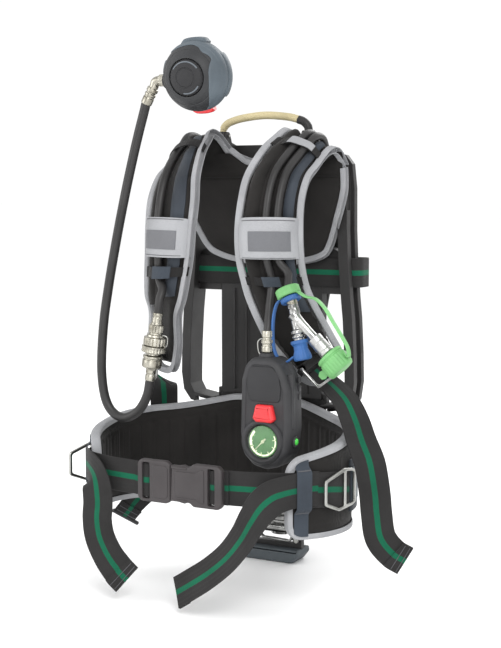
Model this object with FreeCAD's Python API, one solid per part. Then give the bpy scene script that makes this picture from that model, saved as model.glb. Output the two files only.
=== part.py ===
import FreeCAD, Part
import math
import os

# Breathing apparatus carrier: backplate, harness, hip belt, pressure reducer, hoses, demand
# regulator and gauge console. Z is up and the wearer's side, called the front, faces -Y.
# The front face of the backplate spine is at y = 0 and the cylinder side is +Y.
# Right is +X, as seen from the front. Lengths are in millimetres.

Vec = FreeCAD.Vector
X_AXIS = Vec(1, 0, 0)
Y_AXIS = Vec(0, 1, 0)
Z_AXIS = Vec(0, 0, 1)

# ---------------------------------------------------------------- shared dimensions
PLATE_HALF_W = 90.0        # half width of the central spine
PLATE_DEPTH = 18.0
SPINE_BOTTOM = 268.0
SPINE_TOP = 668.0
STRAP_Z = 470.0            # centre height of the cylinder strap
PIVOT_Z = 190.0            # lumbar pivot height
PIVOT_R = 8.0
HANDLE_X = 75.0            # middle of each handle eye, on both sides
HANDLE_Y, HANDLE_Z = -20.0, 682.0
HINGE_PIN_R = 2.0
REDUCER_X, REDUCER_Y = 4.0, 34.0
CONN_Y = 95.0              # cylinder connector axis
REG_CENTRE = Vec(-16, -203, 761)
REG_AXIS = Vec(0.078, -0.987, -0.136)    # points out through the push cap
CONSOLE_X, CONSOLE_Y = 104.0, -214.0     # console swivel axis, vertical


# ---------------------------------------------------------------- helpers
def save(name, *shapes):
    """Write one node as a STEP file."""
    shape = shapes[0] if len(shapes) == 1 else Part.makeCompound(list(shapes))
    shape.exportStep("parts/%s.step" % name)


def box(x0, y0, z0, x1, y1, z1):
    return Part.makeBox(x1 - x0, y1 - y0, z1 - z0, Vec(x0, y0, z0))


def cyl(base, axis, radius, length):
    return Part.makeCylinder(radius, length, Vec(*base), Vec(*axis))


def fuse(first, *others):
    for other in others:
        first = first.fuse(other)
    return first.removeSplitter()


def largest_solid(shape):
    return max(shape.Solids, key=lambda solid: solid.Volume)


def unit(vector):
    result = Vec(*vector)
    result.normalize()
    return result


def mirror_x(shape):
    return shape.mirror(Vec(0, 0, 0), X_AXIS)


def polygon_face(points):
    return Part.Face(Part.makePolygon(points + [points[0]]))


def extrude_xz(outline, y0, y1):
    return polygon_face([Vec(x, y0, z) for x, z in outline]).extrude(Vec(0, y1 - y0, 0))


def extrude_xy(outline, z0, z1):
    return polygon_face([Vec(x, y, z0) for x, y in outline]).extrude(Vec(0, 0, z1 - z0))


def extrude_yz(outline, x0, x1):
    return polygon_face([Vec(x0, y, z) for y, z in outline]).extrude(Vec(x1 - x0, 0, 0))


def scale_outline(outline, centre, factor_x, factor_z):
    cx, cz = centre
    return [(cx + (x - cx) * factor_x, cz + (z - cz) * factor_z) for x, z in outline]


def revolve(profile):
    """Solid of revolution about local Z from (r, z) points."""
    return polygon_face([Vec(r, 0, z) for r, z in profile]).revolve(Vec(0, 0, 0), Z_AXIS, 360)


def loft(sections, closed=False):
    """Flat-faced solid through polygon sections with the same number of points."""
    corners, count, faces = len(sections[0]), len(sections), []

    def add_triangle(a, b, c):
        if min(a.distanceToPoint(b), b.distanceToPoint(c), a.distanceToPoint(c)) >= 1e-6:
            faces.append(polygon_face([a, b, c]))

    for i in range(count if closed else count - 1):
        near, far = sections[i], sections[(i + 1) % count]
        for k in range(corners):
            following = (k + 1) % corners
            add_triangle(near[k], near[following], far[following])
            add_triangle(near[k], far[following], far[k])
    if not closed:
        for end in (sections[0], sections[-1]):
            for k in range(1, corners - 1):
                add_triangle(end[0], end[k], end[k + 1])
    shell = Part.makeShell(faces)
    shell.sewShape()
    # sewing may wrap the shell in a compound
    if shell.ShapeType != "Shell":
        shell = shell.Shells[0]
    solid = Part.makeSolid(shell)
    if solid.Volume < 0:
        solid.reverse()
    return solid


def smooth(points, steps):
    """Catmull-Rom curve through the points, with the given steps per span."""
    knots = [Vec(*p) for p in points]
    curve = []
    for i in range(len(knots) - 1):
        b, c = knots[i], knots[i + 1]
        a = knots[i - 1] if i > 0 else b * 2 - c
        d = knots[i + 2] if i + 2 < len(knots) else c * 2 - b
        for k in range(steps):
            t = k / float(steps)
            curve.append((b * 2 + (c - a) * t + (a * 2 - b * 5 + c * 4 - d) * (t * t)
                          + (b * 3 - a - c * 3 + d) * (t ** 3)) * 0.5)
    curve.append(knots[-1])
    return curve


def tangent(path, i):
    return unit(path[min(i + 1, len(path) - 1)] - path[max(i - 1, 0)])


def tube(points, radius, corners=8):
    """Round hose as a flat-faced sweep with a parallel-transported frame."""
    path = smooth(points, 2)
    across = unit(tangent(path, 0).cross(Vec(0.31, 0.83, 0.46)))
    angles = [2 * math.pi * (k + 0.5) / corners for k in range(corners)]
    sections = []
    for i, centre in enumerate(path):
        along = tangent(path, i)
        across = unit(across - along * across.dot(along))
        third = along.cross(across)
        sections.append([centre + across * (radius * math.cos(a))
                         + third * (radius * math.sin(a)) for a in angles])
    return loft(sections)


def webbing(points, width_dirs, half_width, thickness):
    """Flat webbing along a smoothed path; width_dirs gives its width direction per point."""
    path = smooth(points, 5)
    directions = smooth(width_dirs, 5)
    sections = []
    for i, centre in enumerate(path):
        along = tangent(path, i)
        w = unit(directions[i] - along * directions[i].dot(along))
        n = along.cross(w) * (thickness / 2)
        w = w * half_width
        sections.append([centre - w - n, centre + w - n, centre + w + n, centre - w + n])
    return loft(sections)


def placed(shape, origin, axis):
    """Move a shape from its local frame: local Z along axis, local X nearest to X."""
    ez = unit(axis)
    ex = unit(X_AXIS - ez * ez.x)
    ey = ez.cross(ex)
    matrix = FreeCAD.Matrix(ex.x, ey.x, ez.x, origin.x, ex.y, ey.y, ez.y, origin.y,
                            ex.z, ey.z, ez.z, origin.z, 0, 0, 0, 1)
    moved = shape.copy()
    moved.Placement = FreeCAD.Placement(matrix).multiply(moved.Placement)
    return moved


def ring_plate(outer, holes, centre, ex, ey, thickness):
    """Flat plate with holes; outlines are in the plane (ex, ey), centred in thickness."""
    ex = unit(ex)
    ey = Vec(*ey)
    ey = unit(ey - ex * ey.dot(ex))
    normal = ex.cross(ey)
    origin = Vec(*centre) - normal * (thickness / 2.0)
    plate = polygon_face([origin + ex * a + ey * b for a, b in outer]).extrude(normal * thickness)
    for hole in holes:
        face = polygon_face([origin - normal + ex * a + ey * b for a, b in hole])
        plate = plate.cut(face.extrude(normal * (thickness + 2)))
    return plate


os.makedirs("parts", exist_ok=True)

# ---------------------------------------------------------------- backplate spine
SKIN = 5                   # front skin left by the open back
EAR_THICK = 4
# (y, z) outline of a carrying handle ear
EAR = [(-26.5, 677), (-26.5, 685), (-23, 688.5), (-17, 688.5), (-13.5, 685),
       (-8, 672), (8, 667), (8, 655), (-12, 655)]

spine = box(-PLATE_HALF_W, 0, SPINE_BOTTOM, PLATE_HALF_W, PLATE_DEPTH, SPINE_TOP)
for z0, z1 in ((SPINE_BOTTOM + 8, 420), (520, SPINE_TOP - 8)):    # open back, low and high
    spine = spine.cut(box(-PLATE_HALF_W + 6, SKIN, z0, PLATE_HALF_W - 6, PLATE_DEPTH + 1, z1))
for x in (-54, -18, 18, 54):                                      # inner ribs
    spine = spine.fuse(box(x - 1.5, 4, SPINE_BOTTOM + 6, x + 1.5, PLATE_DEPTH, 422))
for x in (-67, -45, 41, 63):                                      # raised front ridges
    spine = spine.fuse(box(x, -3, SPINE_BOTTOM + 8, x + 4, 1, 440))
spine = spine.fuse(box(-60, -14, 570, 60, 1, 630))                # yoke mounting boss
for side in (-1, 1):
    for x in (65.5, 80.5):
        x0, x1 = sorted((side * x, side * (x + EAR_THICK)))
        spine = spine.fuse(extrude_yz(EAR, x0, x1))
        spine = spine.cut(cyl((x0 - 1, HANDLE_Y, HANDLE_Z), X_AXIS, HINGE_PIN_R + 0.02, 6))
save("backplate_spine", spine.removeSplitter())

# ---------------------------------------------------------------- side rails
# (x, z) outlines of the right rail; the web between the front and back ribs is narrower
RAIL_OUTER = [(95, 656), (125, 651), (136, 637), (140, 600), (140.5, 536), (142.5, 490),
              (147, 430), (150, 400), (153, 345), (154, 300), (150, 272), (137, 255), (95, 248)]
RAIL_INNER = [(95, 262), (130, 268), (138, 282), (138, 300), (137, 345), (134, 400), (131, 430),
              (126.5, 490), (124.5, 536), (124, 600), (122, 628), (114, 638), (95, 641)]
WEB_OUTER = [(95, 650), (121, 645), (129.5, 633), (133, 600), (133.5, 536), (135.5, 490),
             (140, 430), (143, 400), (146, 345), (147, 300), (143, 276), (133.5, 261.5),
             (95, 254.5)]

rail = fuse(extrude_xz(RAIL_OUTER + RAIL_INNER, -20, -8),
            extrude_xz(WEB_OUTER + RAIL_INNER, -8, 9),
            extrude_xz(RAIL_OUTER + RAIL_INNER, 9, 20))
# the front rib stops below the shoulder yoke, and ends behind the hip pad
rail = rail.cut(extrude_xz([(60, 566), (170, 566), (170, 700), (60, 700)], -21, -8))
rail = rail.cut(box(118, -6.2, STRAP_Z - 24.5, 165, -0.6, STRAP_Z + 24.5))    # strap slot
rail = rail.cut(box(60, -30, 240, 128, -8, 262))
rail = fuse(rail,                                                 # lugs towards the spine
            box(PLATE_HALF_W + 0.02, 3, 640.5, 96, 15, 655),
            box(PLATE_HALF_W + 0.02, 3, 268.1, 97, 15, 276),
            box(94, 3, 255, 97, 15, 270))
rails = [rail, mirror_x(rail)]
save("side_rails", *rails)

# ---------------------------------------------------------------- crossbar
CROSSBAR_Z0, CROSSBAR_Z1 = 436.0, 515.0
CROSSBAR_X = PLATE_HALF_W + 0.05         # inner end of each wing
CROSSBAR_BACK = PLATE_DEPTH + 4.5

wing = extrude_xz([(CROSSBAR_X, CROSSBAR_Z0), (133.5, CROSSBAR_Z0), (128, 498),
                   (CROSSBAR_X, CROSSBAR_Z1)], 0, PLATE_DEPTH)
crossbar = fuse(wing, mirror_x(wing),
                box(-118, PLATE_DEPTH + 0.02, 440, 118, CROSSBAR_BACK, 500),
                box(CROSSBAR_X, 10, 440, 118, CROSSBAR_BACK, 500),
                box(-118, 10, 440, -CROSSBAR_X, CROSSBAR_BACK, 500))
for rail in rails:
    crossbar = crossbar.cut(rail)
save("backplate_crossbar", largest_solid(crossbar))

# ---------------------------------------------------------------- lower backplate and bumper
LOWER_TOP = SPINE_BOTTOM - 0.1
LAP_BACK = PLATE_DEPTH + 6               # back face of the lap behind the spine

lower = extrude_xz([(-92, LOWER_TOP), (92, LOWER_TOP), (92, 215), (72, 150), (54, 95), (54, 22.1),
                    (-54, 22.1), (-54, 95), (-72, 150), (-92, 215)], 4, 14)
lower = lower.cut(extrude_xz([(-38, 30), (38, 30), (38, 92), (24, 104), (-24, 104), (-38, 92)],
                             3, 15))
lower = lower.cut(cyl((0, 3, PIVOT_Z), Y_AXIS, PIVOT_R + 0.06, 12))
lower = lower.fuse(box(-70, 12, 246, 70, LAP_BACK, LOWER_TOP))
lower = lower.fuse(box(-70, PLATE_DEPTH + 0.05, 262, 70, LAP_BACK, 300))
for x in (-66, 60):                      # rear stiffeners
    lower = lower.fuse(extrude_xy([(x, 13), (x + 6, 13), (x + 6, 20), (x, 20)], 160, 250))
save("lower_backplate", lower.removeSplitter())

bumper = extrude_xz([(-50, 0), (44, 0), (55, 14), (54, 22), (-61, 22), (-61, 15)], -12, 34)
bumper = bumper.cut(extrude_xz([(-44, 6), (38, 6), (44, 23), (-52, 23)], 16, 30))
# round the first three long edges that run front to back
long_edges = [edge for edge in bumper.Edges
              if abs(edge.tangentAt(edge.FirstParameter).y) > 0.99 and edge.Length > 40]
save("bumper", bumper.makeFillet(2.5, long_edges[:3]))

# ---------------------------------------------------------------- carrying handle
# (x, z) points of the grip
HANDLE_ARCH = [(-75, 687), (-74, 694.5), (-66, 702), (-40, 709), (0, 713), (40, 709.5),
               (66, 702.5), (74, 694.5), (75, 687)]
EYE_W = 9.6

handle = tube([(x, HANDLE_Y, z) for x, z in HANDLE_ARCH], 4.9, 10)
for side in (-1, 1):
    x0 = side * HANDLE_X - EYE_W / 2
    handle = handle.fuse(cyl((x0, HANDLE_Y, HANDLE_Z), X_AXIS, 6.8, EYE_W))
    handle = handle.cut(cyl((x0 - 1, HANDLE_Y, HANDLE_Z), X_AXIS, HINGE_PIN_R + 0.05, 12))
save("carry_handle", handle)

# ---------------------------------------------------------------- cylinder cradle
SADDLE_FRONT = LAP_BACK + 0.1
SADDLE = [(-42, SADDLE_FRONT), (42, SADDLE_FRONT), (42, 46), (34, 46), (18, 33), (-18, 33),
          (-34, 46), (-42, 46)]          # (x, y) outline
SADDLE_H = 30
LOWER_SADDLE_Z, UPPER_SADDLE_Z = 322, 584

# each saddle has a pad in front of it and a middle rib
lower_saddle = fuse(extrude_xy(SADDLE, LOWER_SADDLE_Z, LOWER_SADDLE_Z + SADDLE_H),
                    box(-8, SADDLE_FRONT, 300.3, 8, 32, LOWER_SADDLE_Z),
                    box(-30, PLATE_DEPTH + 0.05, 324, 30, PLATE_DEPTH + 7, 350))
upper_saddle = fuse(extrude_xy(SADDLE, UPPER_SADDLE_Z, UPPER_SADDLE_Z + SADDLE_H),
                    box(-30, PLATE_DEPTH + 0.05, 586, 30, PLATE_DEPTH + 7, 612),
                    box(-6, SADDLE_FRONT, 614, 6, 30, 640))
save("cylinder_cradle", lower_saddle, upper_saddle)

# ---------------------------------------------------------------- cylinder strap
STRAP_W = 45.0
# (x, y) centre line of the closed loop
STRAP_LOOP = [(-148, -3.5), (-60, -3.5), (60, -3.5), (148, -3.5), (153, -1), (155.5, 6),
              (155.5, 30), (152, 37), (144, 40), (60, 40), (-60, 40), (-144, 40), (-152, 37),
              (-155.5, 30), (-155.5, 6), (-153, -1)]

sections = []
for i, (x, y) in enumerate(STRAP_LOOP):
    before, after = STRAP_LOOP[i - 1], STRAP_LOOP[(i + 1) % len(STRAP_LOOP)]
    along = unit((after[0] - before[0], after[1] - before[1], 0))
    normal = Vec(-along.y, along.x, 0)
    centre = Vec(x, y, STRAP_Z)
    half = Vec(0, 0, STRAP_W / 2)
    sections.append([centre - normal - half, centre + normal - half,
                     centre + normal + half, centre - normal + half])
save("cylinder_strap", loft(sections, closed=True))

# ---------------------------------------------------------------- cam buckle and pivot pins
CAM_X, CAM_Y = -113, 53                  # lever pivot axis, vertical

cam_base = fuse(box(-152, 41.6, 444, -104, 44.6, 496),
                box(-152, 44.6, 444, -104, 58, 447.5),
                box(-152, 44.6, 492.5, -104, 58, 496))
cam_base = cam_base.cut(cyl((CAM_X, CAM_Y, 440), Z_AXIS, HINGE_PIN_R + 0.03, 60))
save("cam_buckle_base", cam_base.cut(box(-136, 41, 452, -128, 46, 488)))

lever = extrude_xy([(-119, 48), (-107, 48), (-106, 53), (-109, 58), (-118, 58.5), (-146, 54),
                    (-150, 50.5), (-146, 49.5)], 448.2, 491.8)
lever = lever.cut(cyl((CAM_X, CAM_Y, 440), Z_AXIS, HINGE_PIN_R + 0.06, 60))
save("cam_buckle_lever", lever.cut(box(-141, 47, 456, -124, 60, 484)))

save("pivot_pins", cyl((CAM_X, CAM_Y, 442), Z_AXIS, HINGE_PIN_R, 56),
     *[cyl((side * HANDLE_X - 12, HANDLE_Y, HANDLE_Z), X_AXIS, HINGE_PIN_R, 24)
       for side in (-1, 1)])

# ---------------------------------------------------------------- pressure reducer
BORE_R = 10.0
PORT_Z = 66                # upper hose ports, one on each side
STUD_R = 11.455            # G5/8 stud, smooth stand-in
STUD_L = 15.0
SPRING_TURNS, SPRING_STEPS = 5, 10
SPRING_Z0, SPRING_Z1 = 59.4, 83.6
COIL_R, WIRE_HALF = 6.8, 0.9


def reducer_at(dx, dy, z):
    """Point given from the vertical reducer axis."""
    return REDUCER_X + dx, REDUCER_Y + dy, z


def connector_cyl(z, radius, length):
    return cyl((REDUCER_X, CONN_Y, z), Z_AXIS, radius, length)


body = cyl(reducer_at(0, 0, 38), Z_AXIS, 18, 42)
body = body.fuse(box(REDUCER_X - 11, REDUCER_Y, 40, REDUCER_X + 11, CONN_Y, 60))
body = body.fuse(connector_cyl(38, 14, 24))
# horizontal cylinders on the front, each with a block joining it to the body
body = body.fuse(cyl(reducer_at(-26, -19, 50), X_AXIS, 7.6, 52))
body = body.fuse(box(*reducer_at(-9, -20, 43), *reducer_at(9, 0, 57)))
body = body.fuse(cyl(reducer_at(-11, -21.5, 77), X_AXIS, 7.0, 30))
body = body.fuse(box(*reducer_at(-7, -20, 70), *reducer_at(7, 0, 79.5)))
for side in (-1, 1):
    body = body.fuse(cyl(reducer_at(side * 10, 6, PORT_Z), (side, 0, 0), 7.5, 22))
body = body.fuse(cyl(reducer_at(10, 8, 47), X_AXIS, 6.5, 22))     # lower right port
body = body.cut(cyl(reducer_at(0, 0, 50), Z_AXIS, BORE_R, 40)).cut(connector_cyl(44, 6.4, 30))
body = body.cut(cyl(reducer_at(0, 8, 54), Y_AXIS, 3, CONN_Y - REDUCER_Y - 8))
save("reducer_body", body.removeSplitter())

cap = cyl(reducer_at(0, 0, 80.05), Z_AXIS, 13.8, 11)
cap = cap.fuse(Part.makeCone(13.8, 9, 4, Vec(*reducer_at(0, 0, 91.05)), Z_AXIS))
cap = cap.cut(cyl(reducer_at(0, 0, 79), Z_AXIS, BORE_R, 6))
save("reducer_cap", cap.removeSplitter())

save("reducer_piston", fuse(cyl(reducer_at(0, 0, 52), Z_AXIS, BORE_R - 0.06, 6),
                            cyl(reducer_at(0, 0, 51.0), Z_AXIS, 4, 2),
                            cyl(reducer_at(0, 0, 58), Z_AXIS, 3.2, 8)))

sections = []
for i in range(SPRING_TURNS * SPRING_STEPS + 1):
    angle = 2 * math.pi * i / SPRING_STEPS
    z = SPRING_Z0 + (SPRING_Z1 - SPRING_Z0) * i / (SPRING_TURNS * SPRING_STEPS)
    radial = Vec(math.cos(angle), math.sin(angle), 0)
    centre = Vec(*reducer_at(0, 0, z)) + radial * COIL_R
    out, up = radial * WIRE_HALF, Vec(0, 0, WIRE_HALF)
    sections.append([centre - out - up, centre + out - up, centre + out + up, centre - out + up])
save("reducer_spring", loft(sections))

nipple = fuse(connector_cyl(45, 6.3, 50), connector_cyl(62.1, 9, 1.8))
save("connector_nipple", nipple.cut(connector_cyl(44, 2.5, 52)))

handwheel = connector_cyl(64.2, 24, 14)
for k in range(10):                      # finger scallops
    angle = 2 * math.pi * k / 10
    handwheel = handwheel.cut(cyl((REDUCER_X + 26.5 * math.cos(angle),
                                   CONN_Y + 26.5 * math.sin(angle), 60), Z_AXIS, 5, 25))
handwheel = handwheel.fuse(connector_cyl(78.2, STUD_R, STUD_L))
save("handwheel", handwheel.cut(connector_cyl(60, 6.4, 40)))

bracket = extrude_xz([(-26, 66.5), (-26, 46), (-14, 35), (40, 33), (40, 66.5)], -4, 3.9)
bracket = bracket.cut(extrude_xz([(-23, 63.5), (-23, 47.3), (-12.8, 38), (37, 36.2), (37, 63.5)],
                                 -5, 5))
# two ears lie on the front of the lower plate
save("reducer_bracket", fuse(bracket, box(-46, 1.9, 52, -25, 3.9, 64),
                             box(39, 1.9, 52, 48, 3.9, 64)))

# ---------------------------------------------------------------- shoulder harness
PAD_THICK = 9
BAND_THICK = 1.8
# stations (inner edge, outer edge) of the outer surface, from the yoke over the shoulder down
RIGHT_STRAP = [
    ((42, -24, 636), (138, -26, 634)), ((58, -35, 660), (136, -38, 650)),
    ((67, -54, 682), (133, -52, 661)), ((69, -78, 687), (130, -68, 661)),
    ((65, -105, 674), (126, -84, 650)), ((59, -135, 655), (125.5, -104, 637)),
    ((52, -169, 619), (124, -134, 617)), ((50, -185, 583), (125, -156, 583)),
    ((48.7, -193, 540), (127, -165, 540)), ((50.5, -193, 500), (128.5, -164, 500)),
    ((57.5, -191, 468), (131.5, -158, 468)), ((66, -187, 437), (140, -150, 437)),
    ((85, -174, 388), (156, -120, 386)), ((104, -158, 355), (168, -107, 352)),
    ((128, -141, 322), (160, -116, 324))]
# the left strap mirrors the right one over the first four stations
LEFT_STRAP = [tuple((-x, y, z) for x, y, z in station) for station in RIGHT_STRAP[:4]] + [
    ((-62, -105, 674), (-126, -84, 650)), ((-55, -135, 655), (-125.5, -104, 637)),
    ((-45, -169, 619), (-125, -134, 617)), ((-38, -185, 583), (-125, -156, 583)),
    ((-39, -193, 540), (-124, -165, 540)), ((-43, -193, 500), (-126, -164, 500)),
    ((-50, -191, 468), (-131.5, -158, 464)), ((-59, -187, 437), (-139, -146, 432)),
    ((-71, -180, 410), (-147, -124, 404)), ((-79, -166, 364), (-156, -112, 356)),
    ((-93, -152, 326), (-148, -112, 326))]
# strap, first and last station (fractional), steps, edges as fractions across, height
BANDS = [(RIGHT_STRAP, 7.72, 9.0, 3, -0.01, 1.01, 17.0),
         (LEFT_STRAP, 7.72, 9.0, 3, -0.01, 1.01, 17.0),
         (RIGHT_STRAP, 4.3, 4.75, 1, 0.12, 0.9, 17.5),
         (RIGHT_STRAP, 9.9, 10.2, 1, 0.12, 0.62, 17.5),
         (LEFT_STRAP, 4.3, 4.75, 1, 0.12, 0.9, 17.5),
         (LEFT_STRAP, 9.6, 9.9, 1, 0.12, 0.9, 17.5)]


def station_normal(strap, i):
    """Unit outward normal of a strap station."""
    along = tangent([(Vec(*inner) + Vec(*outer)) * 0.5 for inner, outer in strap], i)
    across = unit(Vec(*strap[i][1]) - Vec(*strap[i][0]))
    return unit(along.cross(across) if strap[i][1][0] > 0 else across.cross(along))


def split_station(strap, station):
    i = min(int(math.floor(station)), len(strap) - 2)
    return i, station - i


def strap_normal(strap, station):
    i, t = split_station(strap, station)
    return unit(station_normal(strap, i) * (1 - t) + station_normal(strap, i + 1) * t)


def strap_point(strap, station, across, height):
    """Point above the strap; across is 0 at its inner edge and 1 at its outer edge."""
    i, t = split_station(strap, station)
    inner = Vec(*strap[i][0]) * (1 - t) + Vec(*strap[i + 1][0]) * t
    outer = Vec(*strap[i][1]) * (1 - t) + Vec(*strap[i + 1][1]) * t
    return inner * (1 - across) + outer * across + strap_normal(strap, station) * height


def shoulder_pad(strap):
    sections = []
    for i, (inner, outer) in enumerate(strap):
        inner, outer = Vec(*inner), Vec(*outer)
        depth = station_normal(strap, i) * PAD_THICK
        sections.append([inner, outer, outer - depth, inner - depth])
    return loft(sections)


def strap_band(strap, first, last, steps, inner_edge, outer_edge, height):
    sections = []
    for k in range(steps + 1):
        station = first + (last - first) * k / float(steps)
        inner = strap_point(strap, station, inner_edge, height)
        outer = strap_point(strap, station, outer_edge, height)
        rise = strap_normal(strap, station) * BAND_THICK
        sections.append([inner, outer, outer + rise, inner + rise])
    return loft(sections)


save("shoulder_pads", shoulder_pad(RIGHT_STRAP), shoulder_pad(LEFT_STRAP))
save("strap_bands", *[strap_band(*band) for band in BANDS])

# rows: z, left x, right x, front y
YOKE = [(490, -52, 60, -17), (500, -86, 94, -17), (512, -104, 106, -18), (538, -117, 118, -25),
        (552, -122, 123.5, -31.5), (566, -128, 130, -35), (596, -136, 140, -41),
        (618, -138, 142, -46), (630.5, -137, 141, -49)]
YOKE_THICK = 10
save("shoulder_yoke", loft([[Vec(x0, y, z), Vec(x1, y, z), Vec(x1, y + YOKE_THICK, z),
                             Vec(x0, y + YOKE_THICK, z)] for z, x0, x1, y in YOKE]))

# adjuster rings: outlines in the ring plane
ADJUSTER_OUTER = [(-26, 19), (26, 19), (28, 15), (28, -16), (25, -20), (-25, -20), (-28, -16),
                  (-28, 15)]
ADJUSTER_HOLE = [(-24, 15), (24, 15), (24, -15.5), (-24, -15.5)]
for name, centre, ex, ey in (
        ("right", (162.2, -163, 337.8), (0.13, 0.95, 0.27), (-0.71, -0.105, 0.697)),
        ("left", (-124, -150, 330), (-0.62, 0.78, 0.0), (0.25, -0.2, 0.95))):
    save("adjuster_ring_" + name,
         ring_plate(ADJUSTER_OUTER, [ADJUSTER_HOLE], centre, ex, ey, 4.0))

# pull straps hanging below the adjusters: path points and width directions
RIGHT_PULL = [(151, -153.5, 338), (160, -152.5, 330.5), (169.5, -151.5, 322),
              (183, -152.5, 312.5), (201, -156, 297), (217, -160, 271), (229, -163.5, 243),
              (239.5, -165, 221), (245, -165, 203), (251, -165, 168), (254, -165, 139),
              (258, -160, 105), (272, -150, 82), (288, -140, 70)]
RIGHT_PULL_DIRS = [(0.13, 0.95, 0.27)] * 2 + [
    (0.16, 0.94, 0.27), (0.25, 0.92, 0.26), (0.42, 0.84, 0.24), (0.6, 0.74, 0.2),
    (0.72, 0.66, 0.16), (0.8, 0.58, 0.15)] + [(0.86, 0.47, 0.15)] * 6
LEFT_PULL = [(-138, -113, 304), (-143, -101, 301.5), (-150, -86, 296), (-158, -71, 286),
             (-164, -60, 272), (-166, -56, 252), (-166, -56, 225), (-166, -56, 195),
             (-166, -56, 170), (-167, -57.5, 152), (-171, -63, 136), (-181, -76, 118),
             (-197, -91, 95), (-217, -101, 69)]
LEFT_PULL_DIRS = [(0.72, 0.05, -0.54), (0.78, 0.17, -0.42), (0.84, 0.3, -0.28),
                  (0.86, 0.42, -0.1), (0.8, 0.6, 0)] + [(0.74, 0.67, 0)] * 5 + [
    (0.73, 0.68, -0.02), (0.68, 0.73, -0.1), (0.56, 0.8, -0.22), (0.45, 0.85, -0.3)]
save("pull_straps", webbing(RIGHT_PULL, RIGHT_PULL_DIRS, 22.5, 2.2),
     webbing(LEFT_PULL, LEFT_PULL_DIRS, 22.5, 2.2))

# ---------------------------------------------------------------- hoses up the back
THIN_HOSE_R = 5.6
SUPPLY_HOSE_R = 6.2
COUPLING_TOP = Vec(-85, -203, 415)
COUPLING_AXIS = unit((-15, 0, -101))     # points down
# each run climbs behind the plate from the reducer to the shoulder yoke
GAUGE_RUN = [(REDUCER_X + 33, 40, PORT_Z), (REDUCER_X + 37, 40, 66.5),
             (REDUCER_X + 42.5, 40.5, 69.5), (49.5, 41.5, 77), (50, 42, 92), (47, 40, 160),
             (46, 33, 250), (54, 31, 350), (70, 30, 440), (84, 30, 500), (96, 24, 560),
             (99, 4, 600), (99, -12, 622)]
FILL_RUN = [(REDUCER_X + 33, 42, 47), (REDUCER_X + 40, 42, 47.5), (53, 43.5, 52), (62, 46, 65),
            (64, 47, 90), (62, 42, 160), (62, 34, 250), (69, 31, 350), (85, 30, 440),
            (99, 30, 500), (110, 24, 560), (113, 4, 600), (113, -13, 622)]
SUPPLY_RUN = [(REDUCER_X - 34.5, 40, PORT_Z), (REDUCER_X - 39.5, 40, 67), (-41, 41, 73),
              (-44, 42.5, 90), (-43, 40, 160), (-48, 33, 250), (-56, 31, 350), (-72, 30, 440),
              (-88, 30, 500), (-100, 24, 560), (-104, 4, 600), (-106, -12, 622)]


def over_strap(strap, across, last, height):
    """Hose points above the strap stations 1 to last."""
    return [strap_point(strap, i, across, height) for i in range(1, last + 1)]


gauge_path = (GAUGE_RUN + over_strap(RIGHT_STRAP, 0.46, 10, 7.4)
              + [(99, -198, 430), (103, -209, 408), (CONSOLE_X, CONSOLE_Y, 399)])
save("gauge_hose", fuse(tube(gauge_path, THIN_HOSE_R),
                        cyl((CONSOLE_X, CONSOLE_Y, 366.5), Z_AXIS, 8, 32),
                        cyl((CONSOLE_X, CONSOLE_Y, 353), Z_AXIS, 4.4, 14)))
fill_path = (FILL_RUN + over_strap(RIGHT_STRAP, 0.66, 9, 7.6)
             + [(121, -183, 480), (127, -194, 464), (130.8, -200.3, 453.6)])
save("fill_hose", tube(fill_path, THIN_HOSE_R))
supply_path = (SUPPLY_RUN + over_strap(LEFT_STRAP, 0.52, 10, 8.4)
               + [(-84, -192, 450), (-83, -200.5, 436),
                  COUPLING_TOP + COUPLING_AXIS * -11, COUPLING_TOP + COUPLING_AXIS * -2.2])
save("supply_hose", tube(supply_path, SUPPLY_HOSE_R))


# ---------------------------------------------------------------- quick coupling, left strap
def coupling_cyl(start, end, radius):
    """Cylinder on the coupling axis; start and end are measured down from its top."""
    return cyl(COUPLING_TOP + COUPLING_AXIS * start, COUPLING_AXIS, radius, end - start)


socket = fuse(coupling_cyl(0, 16, 7.6), coupling_cyl(16, 36, 11), coupling_cyl(36, 50, 17),
              coupling_cyl(50, 62, 13))
save("coupling_socket", socket.cut(coupling_cyl(35, 63, 8.6)))

sleeve = coupling_cyl(50.3, 59.8, 18.4).cut(coupling_cyl(50, 60, 13.08))
groove_x = unit(COUPLING_AXIS.cross(Y_AXIS))
groove_y = COUPLING_AXIS.cross(groove_x)
for k in range(12):                      # grip grooves
    angle = 2 * math.pi * k / 12
    base = (COUPLING_TOP + COUPLING_AXIS * 49 + groove_x * (19.4 * math.cos(angle))
            + groove_y * (19.4 * math.sin(angle)))
    sleeve = sleeve.cut(cyl(base, COUPLING_AXIS, 1.8, 12))
save("coupling_sleeve", sleeve)
save("coupling_plug", fuse(coupling_cyl(36, 65, 8.52), coupling_cyl(65, 84, 15),
                           coupling_cyl(84, 104, 7.6)))

# ---------------------------------------------------------------- regulator hose and elbow
SWIVEL_Y, SWIVEL_Z = REG_CENTRE.y, 757.0      # regulator swivel axis, along X
FERRULE_TOP = Vec(-90.5, SWIVEL_Y, 746.5)
FERRULE_AXIS = unit((-13.5, 0, -24))
# (x, z) points below the coupling and up to the ferrule
REG_HOSE = [(-105, 290), (-116, 270), (-131, 257), (-149, 251.5), (-167, 258), (-180, 276),
            (-186.5, 307), (-187, 346), (-182, 400), (-174, 446), (-164.6, 492), (-151, 552),
            (-136, 612), (-119.7, 671), (-107, 712), (-103.5, 724)]


def swivel_cyl(x, radius, length):
    return cyl((x, SWIVEL_Y, SWIVEL_Z), X_AXIS, radius, length)


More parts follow.
